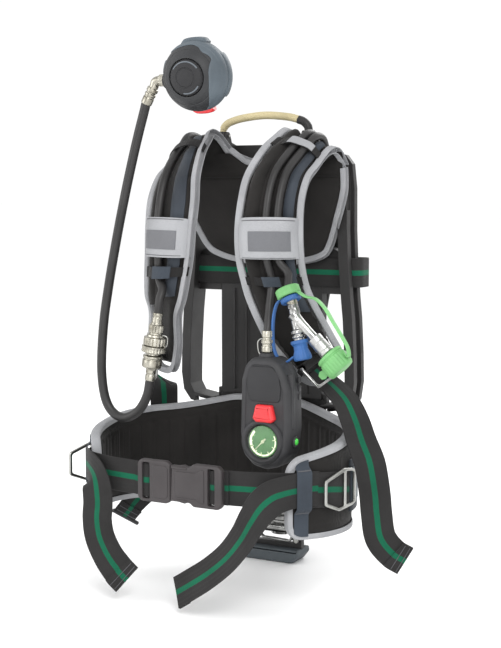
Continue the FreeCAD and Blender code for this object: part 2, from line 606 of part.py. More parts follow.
reg_path = ([COUPLING_TOP + COUPLING_AXIS * 104.3]
            + [(x, SWIVEL_Y, z) for x, z in REG_HOSE])
save("regulator_hose", fuse(tube(reg_path, 7.0), cyl(FERRULE_TOP, FERRULE_AXIS, 8.6, 26)))
save("hose_elbow", fuse(swivel_cyl(-88, 6.4, 36),
                        Part.makeSphere(7.4, Vec(-87.5, SWIVEL_Y, 755)),
                        cyl(FERRULE_TOP - FERRULE_AXIS * 0.4, FERRULE_AXIS * -1, 7.2, 8),
                        swivel_cyl(-78, 8.5, 8)))

# ---------------------------------------------------------------- demand regulator
# (r, z) profiles about the regulator axis
MASK_PORT_R = 22.5
REG_R = 50.0
HOUSING = [(MASK_PORT_R, -46), (MASK_PORT_R, -30), (38, -26.5), (46.5, -17), (REG_R, -5),
           (REG_R, 3), (47, 3), (47, -4.5), (44, -14.5), (36, -23), (19, -26), (19, -46)]
HOUSING_CAVITY = [(0, -20), (44, -14.5), (47, -4.5), (47, 6), (0, 6)]
BOSS_CLEARANCE = [(0, -20), (43.9, -14.6), (46.9, -4.5), (46.9, 40), (0, 40)]
COVER = [(49.5, 3.3), (49.0, 8), (46, 17), (40, 26), (33, 33), (27, 36.5), (27, 33.5),
         (31.5, 30.5), (38, 24), (43.6, 15.5), (46.3, 8), (46.6, 3.3)]
PUSH_CAP = [(0, 42), (10, 41.5), (19, 39.5), (25, 36), (26.3, 33), (26.3, 29.5), (0, 29.5)]
DIAPHRAGM = [(0, 20), (30, 20), (34, 22), (38, 20), (38, 18.8), (34, 20.6), (30, 18.6),
             (0, 18.6)]


def on_regulator(shape):
    return placed(shape, REG_CENTRE, REG_AXIS)


cavity = revolve(HOUSING_CAVITY)
housing = revolve(HOUSING).fuse(box(-20, 47, -14, 11, 55.5, 3)).cut(cavity)
housing = housing.fuse(box(-53, -20, -13, -46, 9, 3)).cut(cavity)
housing = on_regulator(housing.cut(box(-11, -62, -20, 21, -40, -3.2)))    # button recess
boss = swivel_cyl(-69.5, 12.5, 24).cut(on_regulator(revolve(BOSS_CLEARANCE)))
housing = housing.fuse(boss).cut(swivel_cyl(-71, 6.5, 21))
save("regulator_housing", largest_solid(housing))
save("regulator_cover", on_regulator(revolve(COVER)).cut(swivel_cyl(-71, 12.8, 26)))
save("push_cap", on_regulator(revolve(PUSH_CAP)))
save("diaphragm", on_regulator(revolve(DIAPHRAGM)))
save("demand_lever", on_regulator(fuse(box(-26, -3, 10, 4, 3, 11.6),
                                       cyl((-26, -4, 10.8), Y_AXIS, 2.4, 8))))
save("release_button", on_regulator(box(-10.4, -54.5, -19.4, 20.4, -43, -3.8)))

# ---------------------------------------------------------------- console, pressure gauge
CONSOLE_FRONT, CONSOLE_SPLIT, CONSOLE_BACK = -238.0, CONSOLE_Y, -193.0    # y values
GAUGE_X, GAUGE_Z, GAUGE_R = 108.3, 242.6, 23.0
ALARM_CENTRE = (112, 283.5)
SIDE_BUTTON_Y, SIDE_BUTTON_Z = -216, 243
# (x, z) outlines
CONSOLE = [(90, 362), (122, 362), (134, 355), (143.5, 339), (150, 318), (151, 262), (147, 226),
           (132, 207), (112, 202), (92, 207), (76, 222), (71, 252), (73, 330), (79, 350)]
ALARM_RECESS = [(99, 296.5), (125, 296.5), (130, 276), (125, 270.5), (99, 270.5), (94, 276)]

console_mean = (sum(x for x, z in CONSOLE) / len(CONSOLE),
                sum(z for x, z in CONSOLE) / len(CONSOLE))
console_inner = scale_outline(CONSOLE, console_mean, 0.925, 0.965)


def gauge_disc(depth, radius, length):
    """Disc on the gauge axis; depth is measured back from the console front."""
    return cyl((GAUGE_X, CONSOLE_FRONT + depth, GAUGE_Z), Y_AXIS, radius, length)


swivel_bore = cyl((CONSOLE_X, CONSOLE_Y, 350), Z_AXIS, 4.6, 16)
side_hole = cyl((140, SIDE_BUTTON_Y, SIDE_BUTTON_Z), X_AXIS, 5.3, 20)

front = extrude_xz(CONSOLE, CONSOLE_FRONT, CONSOLE_SPLIT)
front = front.cut(extrude_xz(console_inner, CONSOLE_FRONT + 3, CONSOLE_SPLIT + 1))
front = front.fuse(gauge_disc(-1.4, GAUGE_R + 4, 8)).cut(gauge_disc(-3, GAUGE_R + 0.3, 12))
front = front.cut(extrude_xz(ALARM_RECESS, CONSOLE_FRONT - 3, CONSOLE_FRONT + 6))
save("console_front", front.cut(swivel_bore).cut(side_hole))

rear = extrude_xz(CONSOLE, CONSOLE_SPLIT + 0.05, CONSOLE_BACK)
rear = rear.cut(extrude_xz(console_inner, CONSOLE_SPLIT - 1, CONSOLE_BACK - 3))
save("console_rear", rear.cut(swivel_bore).cut(side_hole))

save("gauge_dial", gauge_disc(2.5, GAUGE_R, 3).cut(gauge_disc(1, 1.5, 6)))
pointer = extrude_xz([(GAUGE_X + dx, GAUGE_Z + dz)
                      for dx, dz in ((-1.2, -6), (1.2, -6), (0.3, 18), (-0.3, 18))],
                     CONSOLE_FRONT + 1.2, CONSOLE_FRONT + 2.1)
needle = fuse(gauge_disc(1.2, 2.4, 0.9), gauge_disc(1.3, 1.4, 3.5), pointer)
needle.rotate(Vec(GAUGE_X, 0, GAUGE_Z), Y_AXIS, -135)
save("gauge_needle", needle)
save("gauge_lens", gauge_disc(-1.2, GAUGE_R + 0.2, 1.9))

save("alarm_button", fuse(
    extrude_xz(scale_outline(ALARM_RECESS, ALARM_CENTRE, 0.965, 0.965),
               CONSOLE_FRONT - 3.5, CONSOLE_FRONT + 5),
    extrude_xz(scale_outline(ALARM_RECESS, ALARM_CENTRE, 0.8, 0.8),
               CONSOLE_FRONT - 6.5, CONSOLE_FRONT - 3.5)))
save("side_button", cyl((146.2, SIDE_BUTTON_Y, SIDE_BUTTON_Z), X_AXIS, 5.0, 6.6))
save("console_battery", box(90, -209, 290, 134, -197.5, 338))

# ---------------------------------------------------------------- two-way connector, caps
BLUE_START, BLUE_AXIS = Vec(137, -202, 440), unit((0.236, -0.037, -0.97))
GREEN_START, GREEN_AXIS = Vec(141, -203, 421), unit((0.70, 0.05, -0.71))


def blue_cyl(start, radius, length):
    return cyl(BLUE_START + BLUE_AXIS * start, BLUE_AXIS, radius, length)


def green_cyl(start, radius, length):
    return cyl(GREEN_START + GREEN_AXIS * start, GREEN_AXIS, radius, length)


manifold = cyl((131.5, -200.5, 451), unit((5.5, -1.5, -11)), 8.4, 14)     # inlet
for piece in (blue_cyl(0, 7.4, 62), green_cyl(0, 7.4, 45), green_cyl(47, 10.6, 26),
              Part.makeSphere(9, GREEN_START), green_cyl(70, 7.4, 14), blue_cyl(40, 9.4, 8)):
    manifold = manifold.fuse(piece)
save("manifold_body", manifold.removeSplitter())
save("blue_cap", blue_cyl(55, 12.2, 29).cut(blue_cyl(54, 8.0, 12)))
save("green_cap", green_cyl(74.5, 21, 30).cut(green_cyl(73, 8.2, 13)))

# ---------------------------------------------------------------- hip belt
BELT_CENTRE_Y = -166.0
# semi-axes (x, y) of the belt ellipses
PAD_INNER, PAD_OUTER = (192.0, 150.0), (205.0, 163.0)
WEB_INNER = (207.4, 165.4)
BRACKET_INNER, BRACKET_OUTER = (210.0, 168.0), (213.0, 171.0)
PAD_END, PAD_STEPS = 127, 34
# rows: angle from the back in degrees, height
PAD_TOP = [(0, 268), (15, 268), (22, 264), (33, 257), (45, 252), (60, 250), (78, 245),
           (94, 238), (107, 233), (120, 227), (127, 221)]
PAD_BOTTOM = [(0, 104), (40, 104), (80, 108), (107, 111), (120, 113), (127, 121)]
WEB_CENTRE = [(0, 164), (60, 164), (84, 168), (104, 178), (122, 184), (130, 184)]


def height_at(table, angle):
    angle = abs(angle)
    for (a0, z0), (a1, z1) in zip(table, table[1:]):
        if angle <= a1:
            return z0 + (z1 - z0) * (angle - a0) / float(a1 - a0)
    return table[-1][1]


def on_belt(axes, angle):
    """(x, y) on a belt ellipse; the angle starts at the back, positive towards +X."""
    angle = math.radians(angle)
    return axes[0] * math.sin(angle), BELT_CENTRE_Y + axes[1] * math.cos(angle)


def belt_section(inner_axes, outer_axes, angle, z0, z1):
    inner, outer = on_belt(inner_axes, angle), on_belt(outer_axes, angle)
    return [Vec(*inner, z0), Vec(*outer, z0), Vec(*outer, z1), Vec(*inner, z1)]


sections = []
for i in range(PAD_STEPS + 1):
    angle = -PAD_END + 2.0 * PAD_END * i / PAD_STEPS
    sections.append(belt_section(PAD_INNER, PAD_OUTER, angle, height_at(PAD_BOTTOM, angle),
                                 height_at(PAD_TOP, angle)))
save("hip_pad", loft(sections))

save("lumbar_pivot", fuse(cyl((0, -2.8, PIVOT_Z), Y_AXIS, 30, 2.8),
                          cyl((0, -1, PIVOT_Z), Y_AXIS, PIVOT_R, 18),
                          cyl((0, 14.3, PIVOT_Z), Y_AXIS, 16, 3)))

# ---------------------------------------------------------------- waist webbing
BELT_WEB_W = 50.0
BELT_WEB_THICK = 2
# loose tails in front of the belt: path points and width directions
RIGHT_TAIL = [(186, -256, 185), (168, -276, 183), (152, -291, 177), (138, -299, 163),
              (125, -303, 142), (110, -305, 116), (88, -307, 88), (58, -307, 62),
              (26, -306, 40), (6, -305, 27)]
RIGHT_TAIL_DIRS = [(0, 0, 1), (-0.02, 0.02, 1), (-0.3, 0.02, 0.95), (-0.66, 0.12, 0.74),
                   (-0.78, 0.26, 0.57), (-0.72, 0.38, 0.57), (-0.55, 0.46, 0.7),
                   (-0.42, 0.48, 0.77)] + [(-0.35, 0.45, 0.8)] * 2
LEFT_TAIL = [(-176, -262, 190), (-158, -280, 189), (-141, -293, 180), (-133, -299, 162),
             (-130, -301, 140), (-131, -302, 118), (-126, -303, 92), (-112, -303, 66),
             (-94, -302, 45), (-80, -301, 33)]
LEFT_TAIL_DIRS = [(0, 0, 1), (0.1, 0, 1), (0.6, 0, 0.8), (1, 0.1, 0.2), (1, 0.1, 0),
                  (1, 0.1, 0), (1, 0.15, 0.1), (0.95, 0.2, 0.35)] + [(0.85, 0.3, 0.5)] * 2


def waist_run(side, buckle_x):
    """Webbing from the side of the belt to the buckle."""
    path = []
    for k in range(9):
        angle = 66 + 60 * k / 8.0
        x, y = on_belt(WEB_INNER, angle)
        path.append(Vec(side * x, y, height_at(WEB_CENTRE, angle)))
    for x, y, z in ((128, -277.2, 183.5), (100, -277.6, 182), (76, -277.4, 181),
                    (buckle_x, -277.4, 181)):
        path.append(Vec(side * x, y, z))
    half = Vec(0, 0, BELT_WEB_W / 2)
    sections = []
    for i, centre in enumerate(path):
        step = path[min(i + 1, len(path) - 1)] - path[max(i - 1, 0)]
        along = unit((step.x, step.y, 0))
        out = Vec(along.y, -along.x, 0) * (-side * BELT_WEB_THICK)
        sections.append([centre - half, centre + half, centre + half + out, centre - half + out])
    return loft(sections)


save("waist_webbing", waist_run(1, 57), waist_run(-1, 53),
     webbing(RIGHT_TAIL, RIGHT_TAIL_DIRS, 24.5, 2.0),
     webbing(LEFT_TAIL, LEFT_TAIL_DIRS, 24.5, 2.0))

# ---------------------------------------------------------------- side-release buckle
BUCKLE_Y, BUCKLE_Z = -284.5, 181.0
# outlines: x, height from the buckle centre
SOCKET = [(-12, -26), (20, -26), (25, -31), (66, -31), (72, -25), (72, 25), (66, 31), (25, 31),
          (20, 26), (-12, 26)]
TONGUE = [(-68, -25), (-62, -31), (-19, -31), (-12.6, -26), (-12.6, 26), (-19, 31), (-62, 31),
          (-68, 25)]
PRONG = [(-20.5, 19), (-20.5, 25), (-6, 25.5), (10, 28), (19.5, 24.5), (24, 21), (24, 17),
         (14, 18.5), (0, 18.5), (-10, 18)]


def buckle_plate(outline, y0, y1, side=1):
    """Extruded outline; y from the buckle centre, side -1 turns it upside down."""
    return extrude_xz([(x, BUCKLE_Z + side * z) for x, z in outline], BUCKLE_Y + y0, BUCKLE_Y + y1)


def buckle_box(x0, y0, z0, x1, y1, z1):
    """Box with y and z measured from the buckle centre."""
    return box(x0, BUCKLE_Y + y0, BUCKLE_Z + z0, x1, BUCKLE_Y + y1, BUCKLE_Z + z1)


socket = buckle_plate(SOCKET, -7, 4)
socket = socket.cut(buckle_box(-13, -4.2, -27, 32, 1.6, 27))      # cavity, open at both edges
socket = socket.cut(buckle_box(51, -10, -26.5, 63, 10, 26.5))     # webbing slot
socket = socket.fuse(buckle_box(14, -5, -12, 33, 2, -8)).fuse(buckle_box(14, -5, 8, 33, 2, 12))
socket = socket.cut(buckle_box(-13, -7.5, -7, -6, 4.5, 7))
save("buckle_socket", socket.removeSplitter())

tongue = buckle_plate(TONGUE, -6.6, 3.4)
tongue = tongue.cut(buckle_box(-60, -10, -26.5, -48, 10, 26.5))   # webbing slot
tongue = tongue.fuse(buckle_box(-13, -3.7, -6, 26, 1.1, 6))
tongue = tongue.cut(buckle_box(-21, -4.3, 16, -12, 1.7, 32))      # prong roots
tongue = tongue.cut(buckle_box(-21, -4.3, -32, -12, 1.7, -16))
save("buckle_tongue", tongue.removeSplitter())
save("buckle_prong_upper", buckle_plate(PRONG, -3.8, 1.2))
save("buckle_prong_lower", buckle_plate(PRONG, -3.8, 1.2, -1))

# ---------------------------------------------------------------- lateral attachment rings
# outlines: distance forwards, height
HIP_RING = [(-2.5, 23), (6, 27), (25, 29.5), (70, 18), (70, -18), (37, -31), (6, -27),
            (-2.5, -23)]
HIP_RING_HOLES = [[(2.5, 20.5), (8, 23), (20.5, 24.4), (20.5, -24.2), (8, -23), (2.5, -20.5)],
                  [(25.5, 24.2), (65, 14.2), (65, -14.6), (36.8, -26.2), (25.5, -24.8)]]
HINGE = Vec(217.0, -160, 176)

ring_right = ring_plate(HIP_RING, HIP_RING_HOLES, HINGE, (-0.218, -0.976, 0), Z_AXIS, 4.2)
ring_left = mirror_x(ring_right)
ring_left.rotate(Vec(-HINGE.x, HINGE.y, 0), Z_AXIS, -25)
save("hip_ring_right", ring_right)
save("hip_ring_left", ring_left)

ring_bracket = loft([belt_section(BRACKET_INNER, BRACKET_OUTER, 74 + 12.5 * k / 3.0, 151, 201)
                     for k in range(4)])
save("hip_ring_brackets", ring_bracket, mirror_x(ring_bracket))

# ---------------------------------------------------------------- backplate fasteners
screws = []
for side in (-1, 1):
    for z in (452, 488):                 # crossbar
        screws.append(cyl((side * 105, CROSSBAR_BACK + 0.05, z), Y_AXIS, 4.5, 2.6))
    screws.append(cyl((side * 46, -0.9, 36), Y_AXIS, 4.2, 4.85))          # lower plate front
    screws.append(cyl((side * 40, LAP_BACK + 0.05, 285), Y_AXIS, 4.5, 2.6))
save("frame_screws", *screws)
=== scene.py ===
"""Breathing-apparatus harness: backplate dressing, shoulder straps, hip belt, hoses and fittings.

The tables are in millimetres, +Z up. The backplate stands near y = 0, and the wearer's side, with
the straps, regulator, console and waist buckle, lies towards -Y. "Right" pieces are on the +X side.
"""
import bpy
import bmesh
import math
import numpy as np
from mathutils import Vector, Matrix
from mathutils.geometry import tessellate_polygon


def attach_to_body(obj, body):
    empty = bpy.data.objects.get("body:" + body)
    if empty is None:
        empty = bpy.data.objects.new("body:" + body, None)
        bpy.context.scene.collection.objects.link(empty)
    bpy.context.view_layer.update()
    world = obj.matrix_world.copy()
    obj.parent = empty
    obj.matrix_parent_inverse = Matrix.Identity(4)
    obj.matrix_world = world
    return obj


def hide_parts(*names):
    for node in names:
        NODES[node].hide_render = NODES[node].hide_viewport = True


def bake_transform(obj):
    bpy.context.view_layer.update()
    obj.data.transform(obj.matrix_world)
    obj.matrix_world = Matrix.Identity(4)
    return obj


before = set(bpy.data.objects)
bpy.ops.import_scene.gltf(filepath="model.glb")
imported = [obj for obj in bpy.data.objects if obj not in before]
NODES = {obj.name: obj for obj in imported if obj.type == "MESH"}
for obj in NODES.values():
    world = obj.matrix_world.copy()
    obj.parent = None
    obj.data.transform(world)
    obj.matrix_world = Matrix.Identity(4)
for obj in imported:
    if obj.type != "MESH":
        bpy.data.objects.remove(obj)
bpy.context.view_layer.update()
MM = 0.001                     # metres in one table unit


# ---------------------------------------------------------------- vectors and curves
def vec(*xyz):
    return np.array(xyz, float)


def unit(v):
    v = np.asarray(v, float)
    return v / np.maximum(np.linalg.norm(v, axis=-1, keepdims=True), 1e-12)


def square_to(v, axis):
    """Unit vector nearest v at right angles to a unit axis."""
    return unit(v - axis * np.dot(axis, v))


def spline(points, steps):
    """Catmull-Rom curve through the points, with `steps` samples per span."""
    points = np.asarray(points, float)
    last = len(points) - 1
    curve = []
    for i in range(last):
        start, end = points[i], points[i + 1]
        before = points[i - 1] if i > 0 else 2 * start - end
        after = points[i + 2] if i < last - 1 else 2 * end - start
        for k in range(steps):
            t = k / steps
            curve.append(0.5 * (2 * start + (end - before) * t
                                + (2 * before - 5 * start + 4 * end - after) * t * t
                                + (3 * start - before - 3 * end + after) * t ** 3))
    curve.append(points[-1])
    return np.array(curve)


def arc_length(points):
    gaps = np.linalg.norm(np.diff(points, axis=0), axis=1)
    return np.concatenate([[0], np.cumsum(gaps)])


def resample(points, step, *carried):
    """Even steps along a polyline; carried arrays are resampled with it."""
    along = arc_length(points)
    count = max(int(round(along[-1] / step)), 2)
    even = np.linspace(0, along[-1], count + 1)
    out = [np.stack([np.interp(even, along, column) for column in np.asarray(array, float).T], 1)
           for array in (points, *carried)]
    return out if carried else out[0]


def tangents(points, closed=False):
    if closed:
        return unit(np.roll(points, -1, 0) - np.roll(points, 1, 0))
    out = np.empty_like(points)
    out[1:-1] = points[2:] - points[:-2]
    out[0] = points[1] - points[0]
    out[-1] = points[-1] - points[-2]
    return unit(out)


def twist_free(points, seed=(0.31, 0.83, 0.46)):
    """Two cross directions carried along the curve without twist."""
    along = tangents(points)
    side = np.cross(along[0], seed)
    sides = []
    for t in along:
        side = square_to(side, t)
        sides.append(side)
    sides = np.array(sides)
    return sides, np.cross(along, sides)


def smoothstep(low, high, x):
    t = np.clip((np.asarray(x, float) - low) / (high - low), 0, 1)
    return t * t * (3 - 2 * t)


def quarter_round(depth):
    """Quarter-circle rise from 0 at depth 0 to 1 at depth 1."""
    return np.sqrt(np.maximum(1 - (1 - np.maximum(depth, 0)) ** 2, 0))


# ---------------------------------------------------------------- flat outlines
def box(x0, x1, y0, y1):
    return [(x0, y0), (x1, y0), (x1, y1), (x0, y1)]


def circle(cx, cy, radius, count=48):
    return [(cx + radius * math.cos(2 * math.pi * k / count),
             cy + radius * math.sin(2 * math.pi * k / count)) for k in range(count)]


def area_sign(outline):
    x, y = outline[:, 0], outline[:, 1]
    return 1 if np.sum(x * np.roll(y, -1) - np.roll(x, -1) * y) > 0 else -1


def ccw(outline):
    outline = np.asarray(outline, float)
    return outline[::area_sign(outline)]


def fillet(points, radius, steps=4, closed=True):
    """Rounds the corners; radius is one number or one per corner."""
    points = np.asarray(points, float)
    count = len(points)
    radii = np.full(count, float(radius)) if np.isscalar(radius) else np.asarray(radius, float)
    out = []
    for i in range(count):
        corner = points[i]
        if not closed and i in (0, count - 1):
            out.append(corner)
            continue
        back, ahead = points[i - 1] - corner, points[(i + 1) % count] - corner
        back_len, ahead_len = np.linalg.norm(back), np.linalg.norm(ahead)
        if back_len < 1e-6 or ahead_len < 1e-6 or radii[i] <= 0:
            out.append(corner)
            continue
        back, ahead = back / back_len, ahead / ahead_len
        angle = math.acos(np.clip(np.dot(back, ahead), -1, 1))
        if angle > math.radians(172):
            out.append(corner)
            continue
        cut = min(radii[i] / math.tan(angle / 2), 0.47 * back_len, 0.47 * ahead_len)
        start, end = corner + back * cut, corner + ahead * cut
        for k in range(steps + 1):
            t = k / steps
            out.append((1 - t) ** 2 * start + 2 * t * (1 - t) * corner + t * t * end)
    return np.array(out)


def offset(outline, distance):
    """Moves a closed counter-clockwise outline inwards."""
    outline = np.asarray(outline, float)
    edges = unit(np.roll(outline, -1, 0) - outline)
    normals = np.stack([-edges[:, 1], edges[:, 0]], 1)
    mitre = normals + np.roll(normals, 1, 0)
    square = np.sum(mitre * mitre, 1)
    return outline + mitre * (2.0 / np.maximum(square, 0.5))[:, None] * distance


def strip_section(half_width, thick, radius=None):
    """Rounded flat section, centred."""
    radius = thick / 2 if radius is None else radius
    x, y = half_width - radius, thick / 2 - radius
    out = []
    for cx, cy, start in ((x, y, 0), (-x, y, 90), (-x, -y, 180), (x, -y, 270)):
        for k in range(4):
            angle = math.radians(start + 30 * k)
            out.append((cx + radius * math.cos(angle), cy + radius * math.sin(angle)))
    return np.array(out)


# ---------------------------------------------------------------- materials
def linear(rgb):
    """Linear RGBA from 8-bit sRGB."""
    scaled = [c / 255.0 for c in rgb]
    return tuple(c / 12.92 if c <= 0.04045 else ((c + 0.055) / 1.055) ** 2.4
                 for c in scaled) + (1.0,)


def tone(colour, factor, lift=0.0):
    return tuple(min(c * factor + lift, 1.0) for c in colour[:3]) + (1.0,)


class Shader:
    """Builds one node material round a Principled shader."""

    INPUTS = {"metal": "Metallic", "rough": "Roughness", "alpha": "Alpha",
              "coat": "Coat Weight", "coat_rough": "Coat Roughness", "sheen": "Sheen Weight",
              "sheen_rough": "Sheen Roughness", "emit": "Emission Strength",
              "specular": "Specular IOR Level"}

    def __init__(self, name, **values):
        self.material = bpy.data.materials.new(name)
        self.material.use_nodes = True
        self.tree = self.material.node_tree
        self.tree.nodes.clear()
        output = self.node("OutputMaterial")
        self.principled = self.node("BsdfPrincipled")
        self.link(self.principled.outputs[0], output.inputs[0])
        self.coords = self.node("TexCoord").outputs
        for key, value in values.items():
            self.principled.inputs[self.INPUTS[key]].default_value = value

    def link(self, source, target):
        self.tree.links.new(source, target)

    def drive(self, name, source):
        self.link(source, self.principled.inputs[name])

    def node(self, kind, **props):
        node = self.tree.nodes.new("ShaderNode" + kind)
        for key, value in props.items():
            setattr(node, key, value)
        return node

    def noise(self, scale, detail=3.0, rough=0.55, stretch=None):
        node = self.node("TexNoise")
        node.inputs["Scale"].default_value = scale
        node.inputs["Detail"].default_value = detail
        node.inputs["Roughness"].default_value = rough
        source = self.coords["Object"]
        if stretch:
            mapping = self.node("Mapping")
            mapping.inputs["Scale"].default_value = stretch
            self.link(source, mapping.inputs[0])
            source = mapping.outputs[0]
        self.link(source, node.inputs["Vector"])
        return node.outputs["Fac"]

    def ramp(self, factor, low, dark, high, light):
        """Two-stop colour ramp: dark up to low, light from high."""
        node = self.node("ValToRGB")
        for stop, place, colour in zip(node.color_ramp.elements, (low, high), (dark, light)):
            stop.position = place
            stop.color = colour
        self.link(factor, node.inputs[0])
        return node.outputs[0]

    def fill(self, sockets):
        for socket, value in sockets:
            if isinstance(value, bpy.types.NodeSocket):
                self.link(value, socket)
            else:
                socket.default_value = value

    def math(self, operation, *values, clamp=False):
        node = self.node("Math", operation=operation, use_clamp=clamp)
        self.fill(zip(node.inputs, values))
        return node.outputs[0]

    def mix(self, factor, first, second):
        node = self.node("Mix", data_type="RGBA")
        self.fill(zip((node.inputs[0], node.inputs[6], node.inputs[7]), (factor, first, second)))
        return node.outputs[2]

    def bump(self, height, strength, distance, normal=None):
        node = self.node("Bump")
        node.inputs["Strength"].default_value = strength
        node.inputs["Distance"].default_value = distance
        self.link(height, node.inputs["Height"])
        if normal is not None:
            self.link(normal, node.inputs["Normal"])
        self.drive("Normal", node.outputs[0])

    def edge(self, radius):
        """Bevelled normal, and a mask that is 1 on edges: worn edges in plastic, painted highlights
        in metal.
        """
        bevel = self.node("Bevel", samples=4)
        bevel.inputs["Radius"].default_value = radius
        geometry = self.node("NewGeometry")
        dot = self.node("VectorMath", operation="DOT_PRODUCT")
        self.link(bevel.outputs[0], dot.inputs[0])
        self.link(geometry.outputs["Normal"], dot.inputs[1])
        bend = self.math("SUBTRACT", 1.0, dot.outputs["Value"])
        return bevel.outputs[0], self.math("MULTIPLY", bend, 4.0, clamp=True)

    def vary_roughness(self, noise, spread, base):
        self.drive("Roughness", self.math("ADD", self.math("MULTIPLY", noise, spread), base))

    def uv(self):
        split = self.node("SeparateXYZ")
        self.link(self.coords["UV"], split.inputs[0])
        return split.outputs[0], split.outputs[1]


def plastic(name, rgb, rough, grain=0.12, vary=0.18, wear=0.35, grain_scale=900, coat=0.0,
            bevel=0.0012):
    """Moulded plastic with fine grain and paler, worn edges."""
    m = Shader(name, rough=rough, coat=coat, coat_rough=0.25, specular=0.35)
    base = linear(rgb)
    colour = m.ramp(m.noise(scale=14, detail=4), low=0.3, dark=tone(base, 1 - vary),
                    high=0.7, light=tone(base, 1 + vary, lift=0.002))
    normal, mask = m.edge(bevel)
    patches = m.math("MULTIPLY", m.noise(scale=60, detail=2), wear * 2, clamp=True)
    worn = m.math("MULTIPLY", mask, patches, clamp=True)
    m.drive("Base Color", m.mix(worn, colour, tone(base, 1.9, lift=0.02)))
    m.vary_roughness(m.noise(scale=35, detail=3), spread=0.22, base=rough - 0.11)
    m.bump(m.noise(scale=grain_scale, detail=2, rough=0.6), grain, 0.0006, normal)
    return m.material


def metal(name, rgb, rough, scratch=0.1, reflection_tint=None):
    """Brushed metal with painted highlights on its edges; the last argument is the darker of its
    two colours, a painted dark reflection.
    """
    m = Shader(name, metal=1.0, rough=rough)
    base = linear(rgb)
    dark = linear(reflection_tint) if reflection_tint else tone(base, 0.82)
    colour = m.ramp(m.noise(scale=40, detail=4), low=0.32, dark=dark, high=0.62, light=base)
    normal, mask = m.edge(radius=0.0008)
    # painted highlight: the edges are mixed towards a brighter colour
    m.drive("Base Color", m.mix(m.math("MULTIPLY", mask, 0.5, clamp=True), colour,
                                tone(base, 1.35, lift=0.05)))
    streaks = m.noise(scale=120, detail=4, rough=0.6, stretch=(1, 1, 6))
    m.vary_roughness(streaks, spread=0.25, base=rough - 0.12)
    scratches = m.noise(scale=700, detail=3, rough=0.6, stretch=(1, 1, 8))
    m.bump(scratches, scratch, 0.0003, normal)
    return m.material


def fabric(name, rgb, dark, scale, bump, sheen, rough=0.9):
    """Woven cloth: crossed threads over a soft colour variation."""
    m = Shader(name, rough=rough, sheen=sheen, sheen_rough=0.4, specular=0.18)
    threads = []
    for direction in "XZ":
        wave = m.node("TexWave", wave_type="BANDS", bands_direction=direction)
        wave.inputs["Scale"].default_value = scale / 6.28
        wave.inputs["Distortion"].default_value = 1.2
        wave.inputs["Detail"].default_value = 1.0
        wave.inputs["Detail Scale"].default_value = 0.6
        m.link(m.coords["Object"], wave.inputs["Vector"])
        threads.append(wave.outputs["Fac"])
    weave = m.math("MULTIPLY", *threads)
    factor = m.math("ADD", m.math("MULTIPLY", m.noise(scale=11, detail=4), 0.75),
                    m.math("MULTIPLY", weave, 0.25), clamp=True)
    m.drive("Base Color", m.ramp(factor, low=0.28, dark=linear(dark), high=0.68,
                                 light=linear(rgb)))
    height = m.math("ADD", m.math("MULTIPLY", weave, 1.0),
                    m.math("MULTIPLY", m.noise(scale=60, detail=3), 1.4))
    m.bump(height, bump, 0.0006)
    return m.material


def webbing(name, rgb, stripe=None, pitch=1.7):
    """Narrow webbing, UV in mm: chevron ribs of one pitch and an optional centre stripe."""
    m = Shader(name, rough=0.8, sheen=0.1, sheen_rough=0.35, specular=0.18)
    u, v = m.uv()

    def wave(value, period):
        turns = m.math("MULTIPLY", value, 6.283 / period)
        return m.math("MULTIPLY_ADD", m.math("SINE", turns), 0.5, 0.5)

    rib = wave(m.math("ADD", v, m.math("PINGPONG", u, 3.1)), pitch)
    warp = wave(u, 1.55)
    base = linear(rgb)
    factor = m.math("ADD", m.math("MULTIPLY", m.noise(scale=18, detail=4), 0.55),
                    m.math("MULTIPLY", m.math("MULTIPLY", rib, warp), 0.45), clamp=True)
    colour = m.ramp(factor, low=0.22, dark=tone(base, 0.5), high=0.66, light=base)
    if stripe:
        line = linear(stripe)
        line_colour = m.ramp(factor, low=0.2, dark=tone(line, 0.55), high=0.62, light=line)
        ragged = m.math("ADD", m.math("ABSOLUTE", u),
                        m.math("MULTIPLY", m.noise(scale=300, detail=1), 0.6))
        stripe_half_width = 4.3
        colour = m.mix(m.math("LESS_THAN", ragged, stripe_half_width), colour, line_colour)
    m.drive("Base Color", colour)
    m.bump(m.math("ADD", m.math("MULTIPLY", rib, 0.8), m.math("MULTIPLY", warp, 0.5)),
           strength=0.5, distance=0.0005)
    return m.material


def tape(name, rgb, rough, metal):
    """Silver tape: fine cells over a bright base."""
    m = Shader(name, rough=rough, metal=metal, specular=0.5, sheen=0.1)
    base = linear(rgb)
    cells = m.node("TexVoronoi", feature="DISTANCE_TO_EDGE")
    cells.inputs["Scale"].default_value = 0.55
    m.link(m.coords["UV"], cells.inputs["Vector"])
    cell = m.math("MULTIPLY", cells.outputs["Distance"], 3.0, clamp=True)
    factor = m.math("ADD", m.math("MULTIPLY", m.noise(scale=16, detail=4), 0.7),
                    m.math("MULTIPLY", cell, 0.3), clamp=True)
    m.drive("Base Color", m.ramp(factor, low=0.25, dark=tone(base, 0.8), high=0.6, light=base))
    m.bump(m.math("ADD", cell, m.math("MULTIPLY", m.noise(scale=30, detail=2), 2.0)),
           strength=0.22, distance=0.0005)
    return m.material


